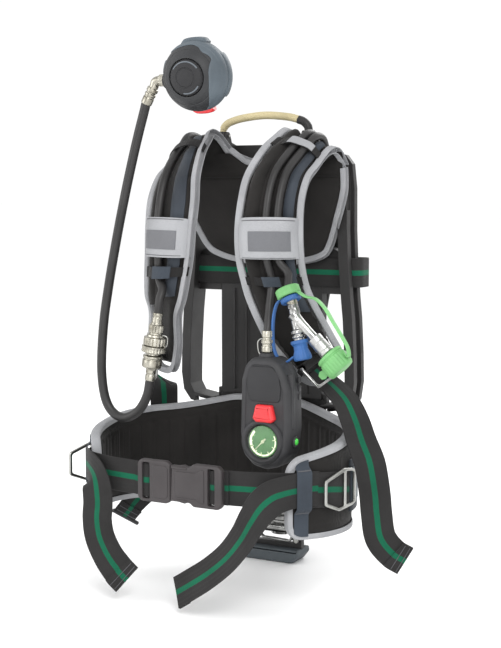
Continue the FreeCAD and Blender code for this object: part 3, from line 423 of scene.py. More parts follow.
def rubber(name, rgb, rough, bump, ribs=0.0, coat=0.0, scale=500):
    """Matt rubber; ribs is the pitch of slanting UV ribs, 0 for none."""
    m = Shader(name, rough=rough, coat=coat, coat_rough=0.3, specular=0.35)
    base = linear(rgb)
    m.drive("Base Color", m.ramp(m.noise(scale=22, detail=4), low=0.3, dark=tone(base, 0.7),
                                 high=0.66, light=base))
    m.vary_roughness(m.noise(scale=50, detail=3), spread=0.2, base=rough - 0.1)
    height = m.noise(scale=scale, detail=3, rough=0.6)
    if ribs:
        u, v = m.uv()
        slant = m.math("ADD", u, m.math("MULTIPLY", v, 0.55))
        wave = m.math("SINE", m.math("MULTIPLY", slant, 6.283 / ribs))
        height = m.math("ADD", height, m.math("MULTIPLY", wave, 0.6))
    m.bump(height, bump, 0.0005)
    return m.material


# Painted glow: emission on parts that are no lamps, the dial, its scale and the green gem
def glowing(name, rgb, strength, rough=0.4):
    m = Shader(name, rough=rough, emit=strength)
    base = linear(rgb)
    colour = m.ramp(m.noise(scale=160, detail=2), low=0.3, dark=tone(base, 0.75),
                    high=0.6, light=base)
    m.drive("Base Color", colour)
    m.drive("Emission Color", colour)
    m.bump(m.noise(scale=900, detail=2), strength=0.08, distance=0.0003)
    return m.material


def clear_window(name):
    m = Shader(name, rough=0.06, alpha=0.035, coat=0.0, specular=0.3)
    m.drive("Base Color", m.ramp(m.noise(scale=20, detail=2), low=0.3, dark=(0.75, 0.8, 0.78, 1),
                                 high=0.7, light=(0.9, 0.95, 0.92, 1)))
    m.bump(m.noise(scale=40, detail=2), strength=0.02, distance=0.0003)
    return m.material


CHARCOAL = (50, 49, 49)
FINISHES = {
    "web": ("webbing", webbing("webbing_charcoal", CHARCOAL, stripe=(17, 100, 72))),
    # spare: worn by no piece, like spacer_mesh and hook_loop below
    "web_plain": (None, webbing("webbing_plain", CHARCOAL)),
    "web_slate": ("webbing", webbing("webbing_slate", (68, 75, 84))),
    "web_dark": ("webbing", webbing("webbing_dark", (36, 35, 35))),
    "edging": ("reflective", webbing("edge_binding", (174, 175, 178), pitch=2.4)),
    "pad": ("padding", fabric("pad_cloth", (42, 40, 39), dark=(25, 24, 23), scale=2600,
                              bump=0.4, sheen=0.12)),
    "mesh": (None, fabric("spacer_mesh", (37, 35, 34), dark=(20, 19, 19), scale=1700,
                          bump=0.7, sheen=0.08)),
    "slate": ("padding", fabric("slate_lining", (62, 68, 76), dark=(36, 40, 46), scale=2200,
                                bump=0.35, rough=0.62, sheen=0.1)),
    "tape": ("reflective", tape("reflective_tape", (151, 152, 155), metal=0.15, rough=0.55)),
    "panel": ("reflective", tape("printed_panel", (97, 98, 102), metal=0.1, rough=0.55)),
    "hose": ("hose_rubber", rubber("hose_rubber", (44, 43, 43), rough=0.42, bump=0.12,
                                   ribs=2.2)),
    "frame": ("frame_plastic", plastic("frame_composite", (36, 35, 35), rough=0.5, grain=0.22,
                                       grain_scale=1100, bevel=0.0016)),
    "bumper": ("bumper_rubber", plastic("bumper_rubber", (74, 80, 84), rough=0.62, grain=0.25,
                                        bevel=0.002)),
    "steel": ("steel", metal("satin_steel", (176, 176, 172), rough=0.32)),
    # nickel and chrome: their darker second colours are painted dark reflections
    "nickel": ("nickel", metal("nickel", (186, 183, 172), rough=0.26, reflection_tint=(118, 114, 102))),
    "chrome": ("steel", metal("polished_chrome", (182, 182, 180), rough=0.17, scratch=0.05,
                              reflection_tint=(112, 112, 111))),
    "alu": ("steel", metal("aluminium", (182, 182, 180), rough=0.38)),
    "brass": (None, metal("brass", (190, 165, 105), rough=0.3)),
    "tan": ("handle_tan", rubber("handle_sleeve", (184, 172, 134), rough=0.55, bump=0.2,
                                 coat=0.1)),
    "reg": ("regulator_dark", plastic("regulator_dark", (42, 43, 45), rough=0.5, grain=0.16,
                                      wear=0.25, bevel=0.001)),
    "reg_slate": ("regulator_slate", plastic("regulator_slate", (78, 87, 94), rough=0.5,
                                             grain=0.16, wear=0.25, bevel=0.001)),
    "cap_rubber": ("cap_rubber", rubber("cap_rubber", (34, 34, 36), rough=0.6, bump=0.3,
                                        scale=800)),
    # pale arcs on the push cap: a painted rim highlight
    "arc": ("cap_rubber", plastic("cap_highlight_arc", (96, 102, 108), rough=0.5, grain=0.1,
                                  bevel=0.0005)),
    "red": ("red_plastic", plastic("red_button", (222, 52, 56), rough=0.36, grain=0.08,
                                   vary=0.1, wear=0.15, coat=0.3)),
    "console": ("console_dark", rubber("console_rubber", (50, 50, 52), rough=0.58, bump=0.3,
                                       scale=900)),
    "console_in": ("console_dark", plastic("console_recess", (36, 36, 38), rough=0.45,
                                           grain=0.12, wear=0.2)),
    # dial, scale and gem: painted glow by emission
    "dial": ("dial_green", glowing("dial_green", (62, 118, 58), strength=0.05)),
    "glow": ("dial_glow", glowing("dial_ring", (236, 242, 204), strength=0.55)),
    "gem": ("dial_green", glowing("green_gem", (70, 190, 70), strength=0.35, rough=0.15)),
    "lens": ("lens", clear_window("gauge_window")),
    "blue": ("blue_rubber", rubber("blue_rubber", (50, 94, 152), rough=0.5, bump=0.14)),
    "green": ("green_rubber", rubber("green_rubber", (116, 178, 112), rough=0.52, bump=0.14)),
    "buckle": ("buckle_plastic", plastic("buckle_plastic", (58, 54, 55), rough=0.5, grain=0.18,
                                         wear=0.2, bevel=0.0008)),
    "silicone": (None, rubber("silicone", (168, 166, 158), rough=0.5, bump=0.1)),
    "battery": (None, plastic("battery_wrap", (70, 96, 66), rough=0.4, grain=0.06)),
    "needle": (None, plastic("needle_white", (200, 206, 170), rough=0.4, grain=0.05)),
    "velcro": (None, fabric("hook_loop", (40, 40, 42), dark=(22, 22, 23), scale=3200,
                            bump=0.8, sheen=0.3)),
    "thread": ("webbing", webbing("thread", (104, 104, 108), pitch=0.8)),
}


# ---------------------------------------------------------------- mesh builders
def shade(ob, sharp):
    """Smooth shading, with edges above the angle `sharp` (degrees) kept sharp."""
    mesh = ob.data
    mesh.polygons.foreach_set("use_smooth", [True] * len(mesh.polygons))
    mesh.set_sharp_from_angle(angle=math.radians(sharp))
    mesh.update()


def link(name, mesh):
    ob = bpy.data.objects.new(name, mesh)
    bpy.context.scene.collection.objects.link(ob)
    return ob


def attach(ob, body, rep=None):
    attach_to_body(ob, body)
    if rep:
        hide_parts(rep)


def new_obj(name, verts, faces, finish, uv=None, sharp=38, body=None, slot=None, rep=None):
    """Mesh object from mm points; uv holds one pair per face corner."""
    mesh = bpy.data.meshes.new(name)
    mesh.from_pydata((np.asarray(verts, float) * MM).tolist(), [], faces)
    if uv is not None:
        layer = mesh.uv_layers.new(name="UVMap")
        layer.data.foreach_set("uv", np.asarray(uv, np.float32).ravel())
    default_slot, material = FINISHES[finish]
    mesh.materials.append(material)
    bm = bmesh.new()
    bm.from_mesh(mesh)
    bmesh.ops.recalc_face_normals(bm, faces=bm.faces)
    bm.to_mesh(mesh)
    bm.free()
    ob = link(name, mesh)
    shade(ob, sharp)
    if body:
        attach(ob, body, rep)
    return ob


def tube(name, rings, finish, across=None, along=None, caps="+-", **kw):
    """Skin over rings of points, shape (rings, points, 3).

    across and along give the UVs of the points and rings, each with one more entry where it
    wraps. caps is the winding of the first and last cap; None joins the last ring to the first.
    """
    rings = np.asarray(rings, float)
    count, size = rings.shape[:2]
    faces, uv = [], []
    if across is None:
        across, along = [0.0] * (size + 1), [0.0] * (count + 1)
        uv_used = False
    else:
        uv_used = True
    for i in range(count - 1 if caps else count):
        here, there = i * size, (i + 1) % count * size
        for k in range(size):
            side = (k + 1) % size
            faces.append((here + k, here + side, there + side, there + k))
            uv += [(across[k], along[i]), (across[k + 1], along[i]),
                   (across[k + 1], along[i + 1]), (across[k], along[i + 1])]
    for row, sign in zip((0, count - 1), caps or ""):
        order = range(size) if sign == "+" else range(size - 1, -1, -1)
        faces.append(tuple(row * size + k for k in order))
        uv += [(across[k], along[row]) for k in order]
    return new_obj(name, rings.reshape(-1, 3), faces, finish, uv=uv if uv_used else None, **kw)


def sweep(name, path, side, normal, section, finish, closed=False, across=None, **kw):
    """Closed section, (m, 2) or one per path point, swept in the (side, normal) plane."""
    path = np.asarray(path, float)
    section = np.asarray(section, float)
    if section.ndim == 2:
        section = np.repeat(section[None], len(path), 0)
    rings = path[:, None] + side[:, None] * section[:, :, :1] + normal[:, None] * section[:, :, 1:]
    along = arc_length(path)
    if closed:
        along = np.append(along, along[-1] + np.linalg.norm(path[0] - path[-1]))
    if across is None:
        middle = section[len(path) // 2][:, 0]
        across = np.append(middle, middle[0])
    return tube(name, rings, finish, across, along, caps=None if closed else "-+", **kw)


def hose(name, points, radius, finish, step=4.0, sides=20, **kw):
    path = resample(spline(points, 8), step)
    turn = np.linspace(0, 2 * np.pi, sides, endpoint=False)
    section = np.stack([np.cos(turn) * radius, np.sin(turn) * radius], 1)
    sweep(name, path, *twist_free(path), section, finish,
          across=np.append(turn, 2 * np.pi) * radius, sharp=60, **kw)


def slab_faces(rows, columns):
    """Faces of a front sheet and a back sheet (rows x columns each) joined round the rim."""
    back = rows * columns
    faces = []
    for i in range(rows - 1):
        for k in range(columns - 1):
            a, b = i * columns + k, i * columns + k + 1
            c, d = b + columns, a + columns
            faces += [(a, b, c, d), (back + a, back + d, back + c, back + b)]
    for i in range(rows - 1):
        for k in (0, columns - 1):
            a = i * columns + k
            faces.append((a, a + columns, back + a + columns, back + a))
    for k in range(columns - 1):
        for i in (0, rows - 1):
            a = i * columns + k
            faces.append((a, a + 1, back + a + 1, back + a))
    return faces


def prism(name, outer, low, high, finish, low_r=1.0, high_r=1.0, origin=(0, 0, 0),
          right=(1, 0, 0), up=(0, 0, 1), holes=(), hole_r=0.0, steps=3, **kw):
    """Prism with rounded rims: outline in (right, up), from low to high along right x up.

    The default plane is XZ, with the depth running along -Y.
    """
    origin, right = vec(*origin), unit(vec(*right))
    up = square_to(vec(*up), right)
    depth_axis = np.cross(right, up)
    verts, faces = [], []

    def put(outline, depth):
        first = len(verts)
        for a, b in outline:
            verts.append(origin + right * a + up * b + depth_axis * depth)
        return list(range(first, len(verts)))

    def wall(outline, sign, r0, r1):
        levels = []
        for k in range(steps + 1):
            a = math.pi / 2 * k / steps
            levels.append((r0 * (1 - math.sin(a)) * sign, low + r0 * (1 - math.cos(a))))
        for k in range(steps, -1, -1):
            a = math.pi / 2 * k / steps
            levels.append((r1 * (1 - math.sin(a)) * sign, high - r1 * (1 - math.cos(a))))
        rows = [put(offset(outline, inset), depth) for inset, depth in levels]
        for row, after in zip(rows, rows[1:]):
            for i in range(len(row)):
                j = (i + 1) % len(row)
                faces.append((row[i], row[j], after[j], after[i]) if sign > 0
                             else (row[i], after[i], after[j], row[j]))
        return rows[0], rows[-1]

    walls = [wall(ccw(outer), 1, low_r, high_r)]
    walls += [wall(ccw(hole), -1, hole_r, hole_r) for hole in holes]
    for loops, order in zip(zip(*walls), (-1, 1)):
        if len(loops) == 1:
            faces.append(tuple(loops[0][::order]))
            continue
        flat = [i for loop in loops for i in loop]
        for triangle in tessellate_polygon([[Vector((float(np.dot(verts[i] - origin, right)),
                                                     float(np.dot(verts[i] - origin, up)), 0))
                                             for i in loop] for loop in loops]):
            faces.append(tuple(flat[i] for i in triangle))
    return new_obj(name, verts, faces, finish, **kw)


def lathe(name, profile, finish, origin, axis, right=(1, 0, 0), soft=(0.4, 2), segs=48,
          flute=None, ring=False, **kw):
    """Turned piece from (radius, height) points.

    soft is the (radius, steps) of the corner rounding, flute(turn, z, radius) scales the
    radius, and ring closes the profile on itself.
    """
    origin, axis, right = vec(*origin), unit(vec(*axis)), vec(*right)
    if abs(np.dot(right, axis)) > 0.95:
        right = vec(0, 1, 0)
    right = square_to(right, axis)
    up = np.cross(axis, right)
    profile = fillet(profile, *soft, closed=False)
    verts, rows = [], []
    for radius, z in profile:
        if radius < 1e-6:
            rows.append([len(verts)] * segs)
            verts.append(origin + axis * z)
            continue
        rows.append(list(range(len(verts), len(verts) + segs)))
        for t in np.linspace(0, 2 * np.pi, segs, endpoint=False):
            r = radius * (flute(t, z, radius) if flute else 1.0)
            verts.append(origin + right * r * math.cos(t) + up * r * math.sin(t) + axis * z)
    along = arc_length(profile)
    pairs = [(i, i + 1) for i in range(len(rows) - 1)]
    if ring:
        pairs.append((len(rows) - 1, 0))
    faces, uv = [], []
    for a, b in pairs:
        for i in range(segs):
            face, corners = [], []
            for row, column in ((a, i), (a, i + 1), (b, i + 1), (b, i)):
                vert = rows[row][column % segs]
                if vert not in face:
                    face.append(vert)
                    corners.append((2 * np.pi * column / segs * 10, along[row]))
            if len(face) >= 3:
                faces.append(tuple(face))
                uv += corners
    if not ring:
        for row, order in ((rows[0], -1), (rows[-1], 1)):
            if len(set(row)) > 2:
                faces.append(tuple(row[::order]))
                uv += [(0, 0)] * segs
    return new_obj(name, verts, faces, finish, uv=uv, **kw)


def flutes(count, depth, low=-math.inf, high=math.inf, power=1.0, beyond=0.0):
    """Lathe flute: grooves between two heights, only where the radius is over `beyond`."""
    def scale(turn, z, radius):
        if low < z < high and radius > beyond:
            return 1 - depth * max(0.0, math.cos(count * turn)) ** power
        return 1.0
    return scale


# ---------------------------------------------------------------- cloth pass for padded pieces
def bake(ob):
    depsgraph = bpy.context.evaluated_depsgraph_get()
    depsgraph.update()
    mesh = bpy.data.meshes.new_from_object(ob.evaluated_get(depsgraph))
    ob.modifiers.clear()
    ob.data = mesh


def inflate(ob, voxel, travel, frames=20):
    """Remeshes a closed pad and swells it by cloth pressure, no point moving over `travel` mm."""
    remesh = ob.modifiers.new("re", "REMESH")
    remesh.mode = "VOXEL"
    remesh.voxel_size = voxel * MM
    bake(ob)
    rest = np.zeros(len(ob.data.vertices) * 3, np.float32)
    ob.data.vertices.foreach_get("co", rest)
    cloth = ob.modifiers.new("cl", "CLOTH")
    settings = cloth.settings
    settings.use_pressure = True
    settings.uniform_pressure_force = 4.0
    settings.effector_weights.gravity = 0
    settings.quality = 4
    settings.tension_stiffness = 25
    settings.compression_stiffness = 25
    settings.bending_stiffness = 0.8
    settings.mass = 0.3
    cloth.point_cache.frame_start = 1
    cloth.point_cache.frame_end = frames
    scene = bpy.context.scene
    for number in range(1, frames + 1):
        scene.frame_set(number)
    bake(ob)
    swollen = np.zeros_like(rest)
    ob.data.vertices.foreach_get("co", swollen)
    move = (swollen - rest).reshape(-1, 3)
    length = np.linalg.norm(move, axis=1, keepdims=True)
    move = move * np.minimum(1, travel * MM / np.maximum(length, 1e-9))
    ob.data.vertices.foreach_set("co", (rest.reshape(-1, 3) + move).ravel())
    ob.data.update()
    scene.frame_set(1)


def plump(ob, voxel, travel):
    inflate(ob, voxel, travel)
    smooth = ob.modifiers.new("sm", "SMOOTH")
    smooth.factor, smooth.iterations = 0.5, 2
    subdivide = ob.modifiers.new("su", "SUBSURF")
    subdivide.levels = subdivide.render_levels = 1
    bake(ob)
    shade(ob, 60)


# ---------------------------------------------------------------- shoulder straps
# stations from the shoulder down to the adjuster: (inner edge point, outer edge point)
STATIONS_RIGHT = [
    ((42, -24, 636), (138, -26, 634)), ((58, -35, 660), (136, -38, 650)),
    ((67, -54, 682), (133, -52, 661)), ((69, -78, 687), (130, -68, 661)),
    ((65, -105, 674), (126, -84, 650)), ((59, -135, 655), (125.5, -104, 637)),
    ((52, -169, 619), (124, -134, 617)), ((50, -185, 583), (125, -156, 583)),
    ((48.7, -193, 540), (127, -165, 540)), ((50.5, -193, 500), (128.5, -164, 500)),
    ((57.5, -191, 468), (131.5, -158, 468)), ((66, -187, 437), (140, -150, 437)),
    ((85, -174, 388), (156, -120, 386)), ((104, -158, 355), (168, -107, 352)),
    ((128, -141, 322), (160, -116, 324))]
STATIONS_LEFT = [
    ((-42, -24, 636), (-138, -26, 634)), ((-58, -35, 660), (-136, -38, 650)),
    ((-67, -54, 682), (-133, -52, 661)), ((-69, -78, 687), (-130, -68, 661)),
    ((-62, -105, 674), (-126, -84, 650)), ((-55, -135, 655), (-125.5, -104, 637)),
    ((-45, -169, 619), (-125, -134, 617)), ((-38, -185, 583), (-125, -156, 583)),
    ((-39, -193, 540), (-124, -165, 540)), ((-43, -193, 500), (-126, -164, 500)),
    ((-50, -191, 468), (-131.5, -158, 464)), ((-59, -187, 437), (-139, -146, 432)),
    ((-71, -180, 410), (-147, -124, 404)), ((-79, -166, 364), (-156, -112, 356)),
    ((-93, -152, 326), (-148, -112, 326))]
PAD_HALF = 4.6                 # the pad's middle lies this far under the strap surface


class Strap:
    """Outer surface of a strap: station along it, across from 0 (inner edge) to 1 (outer)."""

    STEPS = 10

    def __init__(self, stations, side):
        self.inner = spline([s[0] for s in stations], self.STEPS)
        self.outer = spline([s[1] for s in stations], self.STEPS)
        self.along = tangents((self.inner + self.outer) / 2)
        self.side = unit(self.outer - self.inner)
        normal = unit(np.cross(self.along, self.side) * side)
        for _ in range(3):
            normal[1:-1] = unit(normal[:-2] + 2 * normal[1:-1] + normal[2:])
        self.normal = normal
        self.end = len(stations) - 1.0

    def at(self, station, samples):
        x = np.clip(np.asarray(station, float) * self.STEPS, 0, len(samples) - 1 - 1e-9)
        i = np.floor(x).astype(int)
        t = (x - i)[..., None]
        return samples[i] * (1 - t) + samples[i + 1] * t

    def point(self, station, across, height=0.0):
        """Points `height` above the surface; past the end the strap runs straight on."""
        station, across, height = np.broadcast_arrays(
            np.asarray(station, float), np.asarray(across, float), np.asarray(height, float))
        normal = unit(self.at(station, self.normal))
        past = np.maximum(station - self.end, 0)[..., None]
        across, height = across[..., None], height[..., None]
        return (self.at(station, self.inner) * (1 - across)
                + self.at(station, self.outer) * across
                + normal * height + past * 40.0 * self.along[-1])

    def width(self, station):
        return np.linalg.norm(self.at(station, self.outer) - self.at(station, self.inner), axis=-1)

    def rings(self, stations, across, top, bottom):
        """Closed rings: out over the top heights and back under the bottom ones."""
        stations = stations[:, None]
        return np.concatenate([self.point(stations, across, top),
                               self.point(stations, across, bottom)[:, ::-1]], 1)

    def length_along(self, stations):
        return arc_length(self.point(stations, 0.5))


RIGHT_STRAP, LEFT_STRAP = Strap(STATIONS_RIGHT, 1), Strap(STATIONS_LEFT, -1)
STRAPS = (("right", RIGHT_STRAP), ("left", LEFT_STRAP))


def strap_pad(name, strap):
    """Crowned closed pad under the strap's surface, thinner at the edges and the lower end."""
    stations = np.linspace(0.0, strap.end, 150)
    across = np.linspace(0.0, 1.0, 17)
    from_middle = abs(2 * across - 1)
    crown = 1 - from_middle ** 3
    edge = 1 - np.clip((from_middle - 0.84) / 0.16, 0, 1) ** 2 * 0.62
    taper = 0.45 + 0.55 * smoothstep(strap.end, strap.end - 0.9, stations)[:, None]
    top = -PAD_HALF + (3.6 + 0.9 * crown) * edge * taper
    bottom = -PAD_HALF - (3.4 + 2.2 * crown) * edge * taper
    rings = strap.rings(stations, 0.012 + 0.976 * across, top, bottom)
    return tube(name, rings, "pad", sharp=60)


def binding(name, path, outward, normal, width, half, closed=False, body="frame"):
    """Folded edge tape: a U round an edge, path running along the edge's mid thickness."""
    turn = np.linspace(math.pi / 2, -math.pi / 2, 9)
    out, inn = half + 1.15, half - 0.1
    section = [(-width, out - 0.35), (-width * 0.5, out + 0.15)]
    section += [(0.2 + 1.9 * math.cos(a), out * math.sin(a)) for a in turn]
    section += [(-width * 0.5, -out - 0.15), (-width, -out + 0.35)]
    section += [(-width, -inn), (-width * 0.5, -inn)]
    section += [(-0.6 + 1.2 * math.cos(a), inn * math.sin(a)) for a in turn[::-1]]
    section += [(-width * 0.5, inn), (-width, inn)]
    section = np.array(section)
    sweep(name, path, outward, normal, section, "edging", closed=closed, body=body, sharp=50,
          across=arc_length(np.vstack([section, section[:1]])))


def strap_outline(strap, tip=0.55):
    """(station, across) down the inner edge, round the tip and back up the outer edge."""
    end = strap.end + 0.1
    points = [(q, 0.0) for q in np.arange(0.0, end - tip, 0.1)]
    for a in np.linspace(0, math.pi, 22):
        across = 0.5 - 0.5 * np.sign(math.cos(a)) * abs(math.cos(a)) ** 0.55
        points.append((end - tip + tip * abs(math.sin(a)) ** 0.7, across))
    points += [(q, 1.0) for q in np.arange(end - tip, -1e-6, -0.1)]
    return np.array(points)


def strap_binding(name, strap, side):
    outline = strap_outline(strap)
    path = strap.point(outline[:, 0], outline[:, 1], -PAD_HALF)
    path, normal = resample(path, 3.5, unit(strap.at(outline[:, 0], strap.normal)))
    normal = unit(normal)
    outward = unit(np.cross(tangents(path), normal)) * side
    binding(name, path, outward, normal, width=8.0, half=PAD_HALF)


pads = [strap_pad("shoulder_pad_" + tag, strap) for tag, strap in STRAPS]
for pad in pads:
    plump(pad, voxel=5.0, travel=2.2)
    attach(pad, "frame", "shoulder_pads")
strap_binding("strap_binding_right", RIGHT_STRAP, -1)
strap_binding("strap_binding_left", LEFT_STRAP, 1)


def strap_sheet(name, strap, stations, across, top, bottom, u, finish, **kw):
    """Thin strip on the strap between two heights; u gives its UV across."""
    tube(name, strap.rings(stations, across, top, bottom), finish,
         across=[*u, *u[::-1], u[0]], along=strap.length_along(stations),
         sharp=50, body="frame", **kw)


BAND_EDGE = 0.035              # how far a band stands out past the strap's edges
EDGE_HEIGHT = -2.0             # its height there


def wrap_band(name, strap, first, last, heights, finish, count=14, rep=None):
    """A sewn band right round the strap; heights is a table of (across, height) in front."""
    thick, back = 1.3, -10.6
    stations = np.linspace(first, last, count)
    outline = np.array([(-BAND_EDGE, EDGE_HEIGHT)] + heights + [
        (1 + BAND_EDGE, EDGE_HEIGHT), (1 + BAND_EDGE * 0.7, back + 1.5), (0.96, back - 0.6),
        (0.5, back - 1.2), (0.04, back - 0.6), (-BAND_EDGE * 0.7, back + 1.5)])
    outline = spline(np.vstack([outline[-1:], outline, outline[:2]]), 4)[4:-5]
    width = float(strap.width((first + last) / 2))
    outer = np.stack([outline[:, 0] * width, outline[:, 1]], 1)
    order = area_sign(outer)
    inner = offset(outer[::order], thick)[::order]
    section = np.vstack([outer, inner])
    verts = strap.point(stations[:, None], section[:, 0] / width, section[:, 1])
    u = arc_length(np.vstack([outer, outer[:1]])) - arc_length(outer)[-1] / 2
    v = strap.length_along(stations)
    half = len(outer)
    size = 2 * half
    faces, uv = [], []
    for i in range(count - 1):
        here, there = i * size, (i + 1) * size
        for k in range(half):
            j = (k + 1) % half
            faces.append((here + k, here + j, there + j, there + k))
            uv += [(u[k], v[i]), (u[k + 1], v[i]), (u[k + 1], v[i + 1]), (u[k], v[i + 1])]
            faces.append((here + half + k, there + half + k, there + half + j, here + half + j))
            uv += [(u[k], v[i]), (u[k], v[i + 1]), (u[k + 1], v[i + 1]), (u[k + 1], v[i])]
    for i, turn in ((0, 1), (count - 1, -1)):
        row = i * size
        for k in range(half):
            j = (k + 1) % half
            faces.append((row + k, row + half + k, row + half + j, row + j)[::turn])
            uv += [(u[k], v[i]), (u[k], v[i] + 1), (u[k + 1], v[i] + 1), (u[k + 1], v[i])]
    new_obj(name, verts.reshape(-1, 3), faces, finish, uv=uv, sharp=55, body="frame", rep=rep)


def band_patch(name, strap, first, last, across0, across1, heights, finish, lift, thick,
               slot=None):
    """Thin patch laid over the front of a band with the same heights."""
    curve = spline([(-BAND_EDGE, EDGE_HEIGHT)] + heights + [(1 + BAND_EDGE, EDGE_HEIGHT)], 6)
    across = np.linspace(across0, across1, 25)
    height = np.interp(across, curve[:, 0], curve[:, 1]) + lift
    strap_sheet(name, strap, np.linspace(first, last, 12), across, height + thick,
                height - 0.25, across * 80, finish, caps="++", slot=slot)


# band heights: (across, height above the strap)
BAND = [(0.02, 6.5), (0.12, 12.5), (0.3, 15.8), (0.5, 16.6), (0.7, 15.6), (0.88, 12.0),
        (0.98, 6.0)]
KEEPER_LEFT = [(0.02, 5.0), (0.16, 12.5), (0.34, 15.6), (0.55, 16.4), (0.75, 14.4),
               (0.92, 8.0), (0.98, 4.0)]
KEEPER_RIGHT = [(0.02, 3.0), (0.16, 5.0), (0.34, 14.6), (0.55, 15.4), (0.75, 14.0),
                (0.92, 6.0), (0.98, 3.0)]
LOOP_RIGHT = [(0.02, 2.0), (0.12, 3.0), (0.3, 14.2), (0.48, 15.4), (0.64, 12.8), (0.8, 4.0),
              (0.98, 2.0)]
LOOP_LEFT = [(0.02, 3), (0.16, 6.5), (0.34, 15.6), (0.52, 17.0), (0.7, 14.2), (0.9, 5.0),
             (0.98, 3)]

wrap_band("reflective_band_right", RIGHT_STRAP, 7.62, 9.02, BAND, "tape", rep="strap_bands")
wrap_band("reflective_band_left", LEFT_STRAP, 7.66, 9.06, BAND, "tape", rep="strap_bands")
band_patch("band_panel_right", RIGHT_STRAP, 8.06, 8.72, 0.16, 0.9, BAND, "panel",
           lift=0.1, thick=0.7)
band_patch("band_panel_left", LEFT_STRAP, 8.08, 8.74, 0.12, 0.9, BAND, "panel",
           lift=0.1, thick=0.7)
for tag, strap in STRAPS:
    for i, (first, last) in enumerate(((7.70, 7.725), (8.965, 8.99))):
        band_patch("band_stitch_%s_%d" % (tag, i), strap, first, last, 0.03, 0.97, BAND,
                   "thread", lift=0.05, thick=0.35, slot="reflective")

# keepers over the hoses at the shoulder, loops further down
wrap_band("shoulder_keeper_right", RIGHT_STRAP, 4.0, 4.6, KEEPER_RIGHT, "web_dark", count=8)
band_patch("shoulder_keeper_patch", RIGHT_STRAP, 4.02, 4.58, 0.3, 0.84, KEEPER_RIGHT, "tape",
           lift=0.2, thick=0.9)
wrap_band("shoulder_keeper_left", LEFT_STRAP, 4.25, 4.8, KEEPER_LEFT, "web_dark", count=8)
wrap_band("hose_loop_right", RIGHT_STRAP, 9.85, 10.25, LOOP_RIGHT, "web_dark", count=8)
band_patch("hose_loop_patch_right", RIGHT_STRAP, 9.8, 10.3, 0.3, 0.62, LOOP_RIGHT, "web_slate",
           lift=0.2, thick=0.9)
wrap_band("hose_loop_left", LEFT_STRAP, 9.5, 9.95, LOOP_LEFT, "web_dark", count=8)
band_patch("hose_loop_patch_left", LEFT_STRAP, 9.45, 10.0, 0.22, 0.62, LOOP_LEFT, "web_slate",
           lift=0.2, thick=0.9)


def lining(name, strap, first, last, across0, across1, finish, crown, fold, rate, phase):
    """Cloth strip beside the hoses: crown is its bulge, fold the depth of its ripples."""
    stations = np.linspace(first, last, 120)
    x = np.linspace(0, 1, 9)
    ripple = fold * np.sin(rate * stations[:, None] + phase + 2.0 * x) * np.sin(math.pi * x)
    low = 0.2 + crown * (1 - (2 * x - 1) ** 2) + ripple
    width = float(np.mean((across1 - across0) * strap.width(stations)))
    strap_sheet(name, strap, stations, across0 + (across1 - across0) * x, low + 1.2, low,
                (x - 0.5) * width, finish)


lining("hose_lining_right", RIGHT_STRAP, 3.0, 11.3, 0.74, 0.93, "slate",
       crown=3.2, fold=0.9, rate=5.0, phase=0.4)
lining("hose_cover_right", RIGHT_STRAP, 3.0, 11.5, 0.07, 0.32, "pad",
       crown=4.5, fold=0.8, rate=4.0, phase=1.4)
lining("hose_lining_left", LEFT_STRAP, 3.4, 10.9, 0.12, 0.46, "slate",
       crown=4.0, fold=1.3, rate=4.6, phase=2.2)
lining("hose_cover_left", LEFT_STRAP, 3.2, 11.4, 0.72, 0.94, "pad",
       crown=3.0, fold=0.7, rate=4.2, phase=0.9)

# ---------------------------------------------------------------- back yoke
# (z, y) of the front face up the yoke
YOKE_DEPTH = spline([(488, -15.5), (500, -17.5), (512, -19), (538, -26), (552, -32), (566, -36),
                     (596, -42.5), (617, -46.5), (632, -46), (645, -43.5), (660, -49)], 6)
# (x, z) of the pad's sides
YOKE_LEFT = spline([(-52, 490), (-86, 500), (-104, 512), (-117, 538), (-122, 552), (-128, 566),
                    (-136, 596), (-138, 618), (-137, 630)], 8)
YOKE_RIGHT = spline([(60, 490), (94, 500), (106, 512), (118, 538), (123.5, 552), (130, 566),
                     (140, 596), (142, 618), (141, 630)], 8)
# (x, z) of the neck line
NECK = [(-58, 655), (-50, 656), (-42, 650), (-30, 643), (-19, 638.5), (0, 636.5), (19, 638.5),
        (30, 643), (42, 650), (50, 656), (58, 655)]
# (x, z) of the bound edge, down the left side, under and up the right
YOKE_EDGE = spline([(-137, 630), (-138, 618), (-136, 596), (-128, 566), (-117, 538), (-104, 512),
                    (-86, 499), (-52, 490), (0, 487.5), (60, 490), (94, 499), (106, 512),
                    (118, 538), (130, 566), (140, 596), (142, 618), (141, 630)], 8)
YOKE_SEAM_Z = 617.5


def yoke_y(z):
    return np.interp(z, YOKE_DEPTH[:, 0], YOKE_DEPTH[:, 1])


